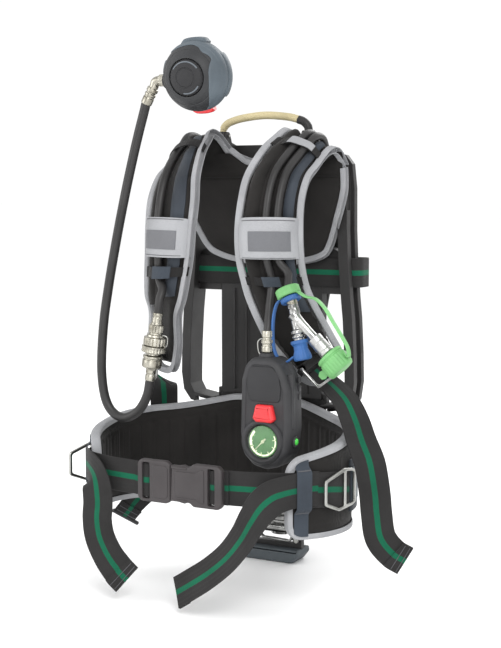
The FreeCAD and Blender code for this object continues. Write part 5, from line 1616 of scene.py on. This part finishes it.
def belt_pad():
    angles = np.concatenate([np.linspace(-126.6, -120, 9), np.linspace(-119.2, 119.2, 230),
                             np.linspace(120, 126.6, 9)])
    t = np.arange(27) / 26
    rings = []
    for angle in angles:
        low, high = belt_edges(angle)
        z = low + (high - low) * t
        end = min(1.0, (BELT_END - abs(angle)) * MM_PER_DEG / 8.0)
        depth = np.minimum(end, np.minimum(t, 1 - t) * (high - low) / 8.0)
        edge = quarter_round(depth) * 0.62 + 0.38
        inner = np.stack([*belt_xy(BELT_MID - 5.4 * edge, angle), z], 1)
        outer = np.stack([*belt_xy(BELT_MID + 5.1 * edge, angle), z], 1)
        rings.append(np.concatenate([inner, outer[::-1]]))
    return tube("hip_belt_pad", rings, "pad", sharp=60)


def groove(distance, width):
    return np.exp(-(distance / width) ** 2)


def belt_quilt(ob):
    """Sewn vertical channels on the body side, and a shallow stitch line outside."""
    points = np.zeros(len(ob.data.vertices) * 3, np.float32)
    ob.data.vertices.foreach_get("co", points)
    points = points.reshape(-1, 3) / MM
    x, y, z = points[:, 0], points[:, 1] - BELT_Y, points[:, 2]
    angle = np.degrees(np.arctan2(x / 198.5, y / 156.5))
    mid_x, mid_y = belt_xy(BELT_MID, angle)
    outward = unit(np.stack([x, y], 1))
    depth = np.hypot(x, y) - np.hypot(mid_x, mid_y - BELT_Y)
    edges = np.array([belt_edges(a) for a in np.clip(angle, -126.9, 126.9)])
    low, high = edges[:, 0], edges[:, 1]
    top, bottom = high - 21, low + 19          # the quilted field
    within = (smoothstep(0, 5, top - z) * smoothstep(0, 5, z - bottom)
              * smoothstep(0, 6, (119 - np.abs(angle)) * MM_PER_DEG))
    pitch = 25.0
    from_seam = (np.radians(angle) * 172 + pitch / 2) % pitch - pitch / 2
    channel = groove(from_seam, 2.6)
    crown = 0.9 * np.cos(np.pi * from_seam / pitch)
    rim = ((groove(z - top, 2.2) + groove(z - bottom, 2.2))
           * smoothstep(0, 6, (121 - np.abs(angle)) * MM_PER_DEG))
    push = np.where(depth < -1.0, within * (2.4 * channel - crown * 0.8) + 2.0 * rim, 0.0)
    stitch = groove(z - (high - 17), 1.6) + groove(z - (low + 15), 1.6)
    push += np.where(depth > 1.0, -0.8 * stitch, 0)
    points[:, 0] += outward[:, 0] * push
    points[:, 1] += outward[:, 1] * push
    ob.data.vertices.foreach_set("co", (points * MM).astype(np.float32).ravel())
    ob.data.update()


belt = belt_pad()
plump(belt, voxel=6.0, travel=1.6)
belt_quilt(belt)
shade(belt, 60)
attach(belt, "belt", "hip_pad")


def belt_outline():
    """(angle, z) round the belt's edge: over the top and under on +X, then mirrored."""
    corner = BELT_END - BELT_CORNER / MM_PER_DEG
    points = [(a, belt_z(BELT_TOP, a)) for a in np.arange(0, corner, 1.5)]
    turn = np.linspace(0, math.pi / 2, 8)
    for table, order, side in ((BELT_TOP, 1, -1), (BELT_BOTTOM, -1, 1)):
        start, end = belt_z(table, corner), belt_z(table, BELT_END)
        for t in turn[::order]:
            points.append((corner + BELT_CORNER / MM_PER_DEG * math.sin(t),
                           start * (1 - math.sin(t)) + end * math.sin(t)
                           + side * BELT_CORNER * (1 - math.cos(t))))
    points += [(a, belt_z(BELT_BOTTOM, a)) for a in np.arange(corner - 1.0, 0, -1.5)]
    return points + [(-a, z) for a, z in points[::-1]][1:]


def belt_binding():
    outline = belt_outline()
    outline.append(outline[0])
    path = np.array([(*belt_xy(6.4, a), z) for a, z in outline])
    normal = np.array([unit(vec(math.sin(math.radians(a)) / 192, math.cos(math.radians(a)) / 150,
                                0)) for a, _ in outline])
    path, normal = resample(path, 4.0, normal)
    path, normal = path[:-1], unit(normal[:-1])
    outward = unit(np.cross(tangents(path, True), normal))
    # the first sixth runs along the upper edge, where outwards is up
    outward *= np.sign(np.mean(outward[:len(outward) // 6, 2]))
    binding("belt_binding", path, outward, normal, width=6.6, half=6.0, closed=True, body="belt")


belt_binding()


# ---------------------------------------------------------------- webbing
def web_strip(name, points, across, half, thick, finish, body, step=4.0, hem=None, rep=None):
    """Slightly crowned webbing along the points; across gives its width direction at each.

    hem is the length folded back and sewn at the far end. Returns the path, side and normal.
    """
    path, side = resample(spline(points, 10), step, spline(across, 10))
    along = tangents(path)
    side = unit(side - along * np.sum(side * along, 1)[:, None])
    normal = np.cross(along, side)
    crown = 0.5
    xs = np.linspace(-1, 1, 9)

    def face(xs, level):
        return [(x * (half - 0.6), level + crown * (1 - x * x) - crown * 0.5) for x in xs]

    section = [(-half, -crown * 0.5), *face(xs, thick / 2), (half, -crown * 0.5),
               *face(xs[::-1], -thick / 2)]
    sweep(name, path, side, normal, section, finish, body=body, sharp=50, rep=rep)
    if hem:
        count = max(int(hem / step), 3)
        end, end_side, end_normal = (array[-count - 1:] for array in (path, side, normal))
        sweep(name + "_hem", end + end_normal * (thick * 0.5 + 1.25), end_side, end_normal,
              strip_section(half - 0.3, 1.9, 0.9), finish, body=body, sharp=50)
        for j in (2, count - 1):
            stitch = np.array([end[j] + end_side[j] * x + end_normal[j] * (thick * 0.5 + 2.35)
                               for x in np.linspace(-half + 2, half - 2, 14)])
            sweep("%s_stitch_%d" % (name, j), stitch, *twist_free(stitch),
                  strip_section(0.5, 1.0), "thread", body=body, sharp=60)
    return path, side, normal


UP = (0, 0, 1)


def waist_webbing(tag, side, buckle_x):
    """Round the outside of the belt, then across to the buckle."""
    points = []
    for angle in np.linspace(60, 126, 13):
        x, y = belt_xy(16.4, angle)
        points.append((side * x, y, web_z(angle)))
    points += [(side * 128, -278.2, 183.5), (side * 100, -278.6, 182), (side * 76, -278.4, 181),
               (side * buckle_x, -278.4, 181)]
    web_strip("waist_webbing_" + tag, points, [UP] * len(points), 25, 2.0, "web", "belt",
              rep="waist_webbing")


waist_webbing("right", 1, 58)
waist_webbing("left", -1, 54)
# hanging ends: (path point, width direction)
TAIL_RIGHT = [
    ((192.9, -231.5, 183.6), UP), ((187.1, -242.3, 184.4), UP), ((180.5, -252.8, 184.6), UP),
    ((174.1, -263.8, 184), UP), ((164, -279, 182), (-0.05, 0.02, 1)),
    ((152, -291, 177), (-0.3, 0.02, 0.95)), ((138, -299, 163), (-0.66, 0.12, 0.74)),
    ((125, -303, 142), (-0.78, 0.26, 0.57)), ((110, -305, 116), (-0.72, 0.38, 0.57)),
    ((88, -307, 88), (-0.55, 0.46, 0.7)), ((58, -307, 62), (-0.42, 0.48, 0.77)),
    ((26, -306, 40), (-0.35, 0.45, 0.8)), ((6, -305, 27), (-0.35, 0.45, 0.8))]
TAIL_LEFT = [
    ((-176, -262, 190), UP), ((-158, -280, 189), (0.1, 0, 1)),
    ((-141, -293, 180), (0.6, 0, 0.8)), ((-133, -299, 162), (1, 0.1, 0.2)),
    ((-130, -301, 140), (1, 0.1, 0)), ((-131, -302, 118), (1, 0.1, 0)),
    ((-126, -303, 92), (1, 0.15, 0.1)), ((-112, -303, 66), (0.95, 0.2, 0.35)),
    ((-94, -302, 45), (0.85, 0.3, 0.5)), ((-80, -301, 33), (0.85, 0.3, 0.5))]
PULL_LOW = (0.86, 0.47, 0.15)
PULL_RIGHT = [
    ((151, -153.5, 338), (0.13, 0.95, 0.27)), ((160, -152.5, 330.5), (0.13, 0.95, 0.27)),
    ((169.5, -151.5, 322), (0.16, 0.94, 0.27)), ((183, -152.5, 312.5), (0.25, 0.92, 0.26)),
    ((201, -156, 297), (0.42, 0.84, 0.24)), ((217, -160, 271), (0.6, 0.74, 0.2)),
    ((229, -163.5, 243), (0.72, 0.66, 0.16)), ((239.5, -165, 221), (0.8, 0.58, 0.15)),
    ((245, -165, 203), PULL_LOW), ((251, -165, 168), PULL_LOW), ((254, -165, 139), PULL_LOW),
    ((258, -160, 105), PULL_LOW), ((272, -150, 82), PULL_LOW), ((288, -140, 70), PULL_LOW)]
PULL_MID = (0.74, 0.67, 0)
PULL_LEFT = [
    ((-138, -113, 304), (0.72, 0.05, -0.54)), ((-143, -101, 301.5), (0.78, 0.17, -0.42)),
    ((-150, -86, 296), (0.84, 0.3, -0.28)), ((-158, -71, 286), (0.86, 0.42, -0.1)),
    ((-164, -60, 272), (0.8, 0.6, 0)), ((-166, -56, 252), PULL_MID),
    ((-166, -56, 225), PULL_MID), ((-166, -56, 195), PULL_MID), ((-166, -56, 170), PULL_MID),
    ((-167, -57.5, 152), PULL_MID), ((-172, -61.5, 136), (0.73, 0.68, -0.02)),
    ((-183.3, -73.4, 118), (0.68, 0.73, -0.1)), ((-199.3, -88.4, 95), (0.56, 0.8, -0.22)),
    ((-218.5, -98.5, 69), (0.45, 0.85, -0.3))]
web_strip("belt_tail_right", *zip(*TAIL_RIGHT), 24.5, 2.0, "web", "belt", hem=22)
web_strip("belt_tail_left", *zip(*TAIL_LEFT), 24.5, 2.0, "web", "belt", hem=22)
web_strip("pull_strap_right", *zip(*PULL_RIGHT), 22.5, 2.2, "web", "frame", hem=20,
          rep="pull_straps")
pull_path, pull_side, _ = web_strip("pull_strap_left", *zip(*PULL_LEFT), 22.5, 2.2, "web",
                                    "frame", hem=20, rep="pull_straps")
bar_middle = pull_path[-1] + unit(pull_path[-1] - pull_path[-2]) * 1.2
lathe("pull_strap_left_bar", [(0, 0), (2.6, 0.2), (3.4, 1.2), (3.4, 56.8), (2.6, 57.8), (0, 58)],
      "console_in", bar_middle - pull_side[-1] * 24.0, pull_side[-1], soft=(0.5, 3), segs=24,
      body="frame", slot="webbing", sharp=45)


def cylinder_strap():
    """Closed loop of webbing round the rails."""
    # (x, y)
    loop = [(-148, -3.5), (-60, -3.5), (60, -3.5), (148, -3.5), (153, -1), (155.5, 6),
            (155.5, 30), (152, 37), (144, 40), (60, 40), (-60, 40), (-144, 40), (-152, 37),
            (-155.5, 30), (-155.5, 6), (-153, -1)]
    path = np.array([(x, y, 470.0) for x, y in loop + loop[:1]])
    path = resample(path, 3.0)[:-1]
    for _ in range(2):
        path = (np.roll(path, 1, 0) + 2 * path + np.roll(path, -1, 0)) / 4
    side = np.tile(vec(*UP), (len(path), 1))
    sweep("cylinder_strap_web", path, side, np.cross(tangents(path, True), side),
          strip_section(22.5, 2.0, 0.9), "web", closed=True, body="frame",
          rep="cylinder_strap", sharp=50)


cylinder_strap()


# ---------------------------------------------------------------- patches on the belt
def inside_belt(angle):
    bottom, top = belt_edges(angle)
    return bottom + 3.5, top - 3.5


def belt_patch(name, start, end, finish, lift, edges=inside_belt, thick=1.6, bulge=0.0,
               columns=9, rows=46):
    """Patch on the belt's outer face; edges(angle) gives its z limits.

    bulge is the extra lift where it passes over the waist webbing.
    """
    t = np.linspace(0, 1, rows)
    front, back = [], []
    for i, angle in enumerate(np.linspace(start, end, columns)):
        low, high = edges(angle)
        z = low + (high - low) * t
        base = 13 + lift + bulge * (1 - smoothstep(25, 36, abs(z - web_z(angle))))
        top = thick * (1.0 if 0 < i < columns - 1 else 0.55)
        front.append(np.stack([*belt_xy(base + top, angle), z], 1))
        back.append(np.stack([*belt_xy(base - 0.2, angle), z], 1))
    u = (np.linspace(0, 1, columns) - 0.5) * abs(end - start) * MM_PER_DEG
    v = t * 160
    uv = []
    for i in range(columns - 1):
        for k in range(rows - 1):
            a, b = (u[i], v[k]), (u[i], v[k + 1])
            c, d = (u[i + 1], v[k + 1]), (u[i + 1], v[k])
            uv += [a, b, c, d, a, d, c, b]
    for i in range(columns - 1):
        uv += [(u[i], 0), (u[i + 1], 0), (u[i + 1], 1), (u[i], 1)] * 2
    for k in range(rows - 1):
        for i in (0, columns - 1):
            uv += [(u[i], v[k]), (u[i], v[k + 1]), (u[i] + 1, v[k + 1]), (u[i] + 1, v[k])]
    new_obj(name, np.concatenate(front + back), slab_faces(columns, rows), finish, uv=uv,
            sharp=45, body="belt")


# (side, start angle, end angle, bulge)
HIP_LOOPS = (("right", 117.4, 124.6, 8.6), ("left", -119.5, -112.2, 6.6))
for tag, start, end, bulge in HIP_LOOPS:
    belt_patch("hip_loop_" + tag, start, end, "web_slate", lift=0.6, bulge=bulge)
for tag, start, end, bulge in HIP_LOOPS:
    for k, z in enumerate((181 + 30.5, 181 - 30.5)):
        belt_patch("hip_loop_stitch_%s_%d" % (tag, k), start + 0.4, end - 0.4, "thread",
                   lift=2.1, edges=lambda angle: (z - 0.7, z + 0.7), thick=0.4, bulge=bulge,
                   rows=4)
for tag, start, end in (("right", 62.0, 87.5), ("left", -87.5, -62.0)):
    belt_patch("ring_pad_" + tag, start, end, "slate", lift=3.2,
               edges=lambda angle: (137.0, 212.0), thick=3.4, columns=16, rows=24)

# ---------------------------------------------------------------- side-release buckle
BUCKLE_Z = 181.0


def buckle_part(name, body, outline, corner, low, high, low_r, high_r, slot_x=None, **kw):
    """Part in the XZ plane, z counted from the buckle's middle.

    corner is the fillet's (radius, steps); slot_x is the x range of a webbing slot.
    """
    def place(points, radius, steps):
        return fillet([(x, BUCKLE_Z + z) for x, z in points], radius, steps)

    holes = [place(box(*slot_x, -26.5, 26.5), 2.5, 3)] if slot_x else ()
    prism(name, place(outline, *corner), low, high, "buckle", low_r=low_r, high_r=high_r,
          holes=holes, hole_r=1.2, body=body, **kw)


buckle_part("buckle_socket_shell", "belt",
            [(-12, -26), (20, -26), (25, -31), (66, -31), (72, -25), (72, 25), (66, 31),
             (25, 31), (20, 26), (-12, 26)], ([2, 7, 9, 8, 8, 8, 8, 9, 7, 2], 5),
            280.4, 291.6, 2.0, 3.2, slot_x=(49.5, 60.5), steps=4, rep="buckle_socket")
buckle_part("buckle_socket_face", "belt",
            [(-4, -19), (30, -19), (40, -24), (44, -24), (44, 24), (40, 24), (30, 19),
             (-4, 19)], (4, 4), 291.2, 293.0, 0.2, 1.5, steps=4)
for k, z in enumerate((-23.4, 23.4)):
    buckle_part("buckle_waist_rim_%d" % k, "belt", box(-10.5, 16, z - 1.6, z + 1.6), (1.5, 3),
                291.0, 292.6, 0.1, 1.2)
buckle_part("buckle_tongue_body", "tongue",
            [(-68, -25), (-62, -31), (-19, -31), (-12.6, -26), (-12.6, 26), (-19, 31),
             (-62, 31), (-68, 25)], ([8, 8, 8, 4, 4, 8, 8, 8], 5),
            281.2, 291.0, 2.0, 3.2, slot_x=(-59.5, -47), steps=4, rep="buckle_tongue")
buckle_part("buckle_tongue_guide", "tongue", [(-14, -6), (26, -5), (26, 5), (-14, 6)], (2, 3),
            283.5, 288.1, 0.6, 0.6)
buckle_part("buckle_tongue_face", "tongue",
            [(-42, -24), (-20, -24), (-16, -20), (-16, 20), (-20, 24), (-42, 24)], (4, 4),
            290.6, 292.2, 0.2, 1.3, steps=4)
PRONG = [(-20.5, 19), (-20.5, 25), (-6, 25.5), (10, 28), (19.5, 24.5), (24, 21), (24, 17),
         (14, 18.5), (0, 18.5), (-10, 18)]
buckle_part("buckle_prong_a", "prong_upper", PRONG, (1.6, 3), 283.4, 288.2, 0.7, 0.7,
            rep="buckle_prong_upper")
buckle_part("buckle_prong_b", "prong_lower", [(x, -z) for x, z in PRONG[::-1]], (1.6, 3),
            283.4, 288.2, 0.7, 0.7, rep="buckle_prong_lower")
# webbing turned round the two buckle bars
for name, bar, far, body in (("buckle_turn_right", 46.5, 78.0, "belt"),
                             ("buckle_turn_left", -45.0, -76.0, "tongue")):
    side = 1 if far > bar else -1
    # (x from the bar, y)
    turn = [(18.5, -282.0), (15.2, -285.5), (10, -287.0), (4.6, -285.6), (3.4, -282.2),
            (6.0, -280.4)]
    points = [(far, -281.4, BUCKLE_Z)] + [(bar + side * x, y, BUCKLE_Z) for x, y in turn]
    web_strip(name, points, [UP] * len(points), 24.6, 1.6, "web", body, step=1.2)

# ---------------------------------------------------------------- hip rings and adjusters
RING_RIM = {"low_r": 1.6, "high_r": 1.6, "steps": 4, "hole_r": 1.5}
HIP_RING = fillet([(-2.5, 23), (6, 27), (25, 29.5), (70, 18), (70, -18), (37, -31), (6, -27),
                   (-2.5, -23)], [3, 5, 8, 6, 6, 10, 5, 3], 5)
HIP_RING_HOLES = [
    fillet([(2.5, 20.5), (8, 23), (20.5, 24.4), (20.5, -24.2), (8, -23), (2.5, -20.5)], 2.5, 4),
    fillet([(25.5, 24.2), (65, 14.2), (65, -14.6), (36.8, -26.2), (25.5, -24.8)],
           [3, 4, 4, 6, 3], 5)]


def hip_ring(tag, side, right):
    prism("hip_ring_plate_" + tag, HIP_RING, -2.1, 2.1, "steel", origin=(side * 217, -160, 176),
          right=right, holes=HIP_RING_HOLES, body="ring_" + tag, rep="hip_ring_" + tag,
          **{**RING_RIM, "low_r": 1.7, "high_r": 1.7})


hip_ring("right", 1, (-0.218, -0.976, 0))
tangent = unit(vec(0.218, -0.976, 0))
swing = math.radians(-25)
hip_ring("left", -1, (tangent[0] * math.cos(swing) - tangent[1] * math.sin(swing),
                      tangent[0] * math.sin(swing) + tangent[1] * math.cos(swing), 0))


def adjuster(tag, strap, origin, right, up):
    """Ring plate at the strap's end, and webbing turned round its top bar and sewn on."""
    origin = vec(*origin)
    prism("adjuster_plate_" + tag, fillet(box(-28, 28, 20, -20), 6, 5), -2, 2, "chrome",
          origin=origin, right=right, up=up, holes=[fillet(box(-24, 24, 15, -15.5), 3.5, 4)],
          body="adjuster_" + tag, rep="adjuster_ring_" + tag, **RING_RIM)
    right = unit(vec(*right))
    up = square_to(vec(*up), right)
    out = np.cross(right, up)
    bar = origin + up * 17.5
    sewn_start = strap.point(strap.end - 0.75, 0.5, 1.2)
    sewn_end = strap.point(strap.end - 0.35, 0.5, 1.2)
    across = unit(strap.at(strap.end - 0.4, strap.side))
    if np.dot(across, right) <= 0:
        across = -across
    points = [sewn_start, sewn_end, sewn_end * 0.45 + (bar - out * 5.0) * 0.55]
    # round the bar: (along up, along out)
    points += [bar + up * u + out * o for u, o in (
        (0.5, -4.4), (-4.2, -2.6), (-4.9, 0.6), (-1.2, 4.4), (4.2, 2.6), (6.6, -2.4))]
    points.append(sewn_end * 0.5 + (bar - out * 5.0) * 0.5 + up * 3.0)
    between = unit(across + right)
    web_strip("adjuster_loop_" + tag, points, [across] * 2 + [between] + [right] * 6 + [between],
              21.5, 1.6, "web_dark", "frame", step=1.6)


adjuster("right", RIGHT_STRAP, (162.2, -163, 337.8), (0.13, 0.95, 0.27), (-0.71, -0.105, 0.697))
adjuster("left", LEFT_STRAP, (-124, -150, 330), (-0.62, 0.78, 0.0), (0.25, -0.2, 0.95))

# ---------------------------------------------------------------- carrying handle
HANDLE_Y = -20.0
HANDLE_X = 75                  # pivots at +-x


def handle_part(name, points, radius, finish, step=1.5, rep=None):
    """Round bar through (x, z) points in the handle's plane."""
    hose(name, [(x, HANDLE_Y, z) for x, z in points], radius, finish, step=step, sides=28,
         body="handle", rep=rep)


handle_part("handle_sleeve_neck", [(-75, 686.5), (-74.9, 690.5), (-74.3, 693.5),
                                   (-72.6, 696.4)], 4.9, "tan")
handle_part("handle_sleeve", [(-74.2, 693.2), (-72.4, 696.6), (-68, 700.7), (-60, 704.4),
                              (-38, 709.6), (0, 713), (38, 710), (56, 706), (62, 704)],
            6.0, "tan", step=2.5, rep="carry_handle")
for tag, x, cuff in (
        ("left", -HANDLE_X, [(-75, 683.5), (-75, 686), (-75, 689)]),
        ("right", HANDLE_X, [(75, 684), (75, 690), (73.0, 696.0), (66, 702.3), (58, 705.2)])):
    lathe("handle_end_" + tag, [(2.1, -4.8), (6.4, -4.8), (6.9, -4.2), (6.9, 4.2), (6.4, 4.8),
                                (2.1, 4.8)],
          "frame", (x, HANDLE_Y, 682.0), (1, 0, 0), soft=(0.6, 3), segs=40, ring=True,
          body="handle", sharp=40)
    handle_part("handle_cuff_" + tag, cuff, 6.5, "frame")

# ---------------------------------------------------------------- bumper and reducer guard
prism("bumper_block",
      fillet([(-50, 0), (44, 0), (55, 14), (54, 22), (-61, 22), (-61, 15)],
             [6, 6, 6, 2.5, 2.5, 5], 5),
      -34, 12, "bumper", low_r=3.5, high_r=4.5, steps=5, body="frame", rep="bumper")
for k, x in enumerate((-36, -18, 0, 18, 34)):
    prism("bumper_tread_%d" % k, fillet(box(x - 5, x + 5, -8, 28), 2.5, 3), -0.6, 0.8, "bumper",
          up=(0, 1, 0), low_r=0.5, high_r=0.2, body="frame")
prism("reducer_guard",
      fillet([(-26, 66.5), (-26, 46), (-14, 35), (40, 33), (40, 66.5)], [3, 8, 8, 8, 3], 5),
      -3.9, 4.0, "chrome", low_r=1.3, high_r=1.3, steps=4, hole_r=1.3, body="frame",
      holes=[fillet([(-23, 63.5), (-23, 47.3), (-12.8, 38), (37, 36.2), (37, 63.5)],
                    [2, 6, 6, 6, 2], 5)], rep="reducer_bracket")
for k, (x0, x1) in enumerate(((-46, -25), (39, 48))):
    prism("reducer_guard_ear_%d" % k, fillet(box(x0, x1, 52, 64), 2.5, 3), -3.9, -1.9, "chrome",
          low_r=0.5, high_r=0.5, body="frame")

# ---------------------------------------------------------------- CAD pieces kept as they are
CAD_FINISHES = {
    "backplate_spine": "frame", "side_rails": "frame", "backplate_crossbar": "frame",
    "lower_backplate": "frame", "cylinder_cradle": "bumper", "cam_buckle_base": "steel",
    "cam_buckle_lever": "buckle", "pivot_pins": "steel", "reducer_body": "chrome",
    "reducer_cap": "alu", "reducer_piston": "brass", "reducer_spring": "steel",
    "connector_nipple": "brass", "handwheel": "frame", "diaphragm": "silicone",
    "demand_lever": "steel", "gauge_needle": "needle", "console_battery": "battery",
    "lumbar_pivot": "frame", "hip_ring_brackets": "reg_slate", "frame_screws": "steel"}
BEVEL_WIDTH = {                # metres
    "backplate_spine": 0.0009, "side_rails": 0.0016, "backplate_crossbar": 0.0009,
    "lower_backplate": 0.0009, "cylinder_cradle": 0.0009, "cam_buckle_base": 0.0009,
    "cam_buckle_lever": 0.0009, "handwheel": 0.0009, "lumbar_pivot": 0.0009}
for name, finish in CAD_FINISHES.items():
    node = NODES[name]
    node.data.materials.clear()
    node.data.materials.append(FINISHES[finish][1])
    if name in BEVEL_WIDTH:
        weld = node.modifiers.new("weld", "WELD")
        weld.merge_threshold = 0.00002
        bevel = node.modifiers.new("bevel", "BEVEL")
        bevel.width = BEVEL_WIDTH[name]
        bevel.segments = 2
        bevel.limit_method = "ANGLE"
        bevel.angle_limit = math.radians(40)
        bevel.harden_normals = False


# ---------------------------------------------------------------- stage, light and camera (metres)
def add_floor(half=40, z=-0.0005):
    mesh = bpy.data.meshes.new("floor")
    mesh.from_pydata([(x, y, z) for x, y in box(-half, half, -half, half)], [], [(0, 1, 2, 3)])
    floor = link("floor", mesh)
    material = bpy.data.materials.new("floor_pale")
    material.use_nodes = True
    inputs = material.node_tree.nodes["Principled BSDF"].inputs
    inputs["Base Color"].default_value = (0.985, 0.985, 0.985, 1)
    inputs["Roughness"].default_value = 0.9
    mesh.materials.append(material)


def add_world():
    world = bpy.data.worlds.new("world")
    bpy.context.scene.world = world
    world.use_nodes = True
    background = world.node_tree.nodes["Background"]
    background.inputs["Color"].default_value = (1, 1, 1, 1)
    background.inputs["Strength"].default_value = 1.03


def area_light(name, location, target, size, power):
    light = bpy.data.lights.new(name, "AREA")
    light.energy, light.size = power, size
    ob = link(name, light)
    ob.location = location
    aim = Vector(target) - Vector(location)
    ob.rotation_euler = aim.to_track_quat("-Z", "Y").to_euler()


def add_camera():
    camera = bpy.data.cameras.new("cam")
    ob = link("cam", camera)
    camera.lens = 75.0
    camera.sensor_width = 36.0
    camera.sensor_fit = "AUTO"
    right = (0.88295, 0.46947, 0)
    up = (-0.04744, 0.08923, 0.99487)
    back = (0.46706, -0.87842, 0.10106)
    pose = Matrix((right, up, back)).transposed().to_4x4()
    pose.translation = (0.9787, -1.9097, 0.602)
    ob.matrix_world = pose
    camera.clip_start, camera.clip_end = 0.05, 50
    bpy.context.scene.camera = ob


add_floor()
add_world()
area_light("key", location=(1.5, -2.2, 2.3), target=(0, -0.1, 0.4), size=1.4, power=48)
area_light("fill", location=(-1.9, -1.8, 1.2), target=(0, -0.1, 0.4), size=1.8, power=24)
area_light("rim", location=(0.3, 2.2, 2.0), target=(0, 0, 0.45), size=1.5, power=30)
area_light("front_low", location=(0.6, -2.4, 0.3), target=(0, -0.2, 0.4), size=1.2, power=10)
add_camera()
bpy.context.scene.view_settings.view_transform = "Standard"
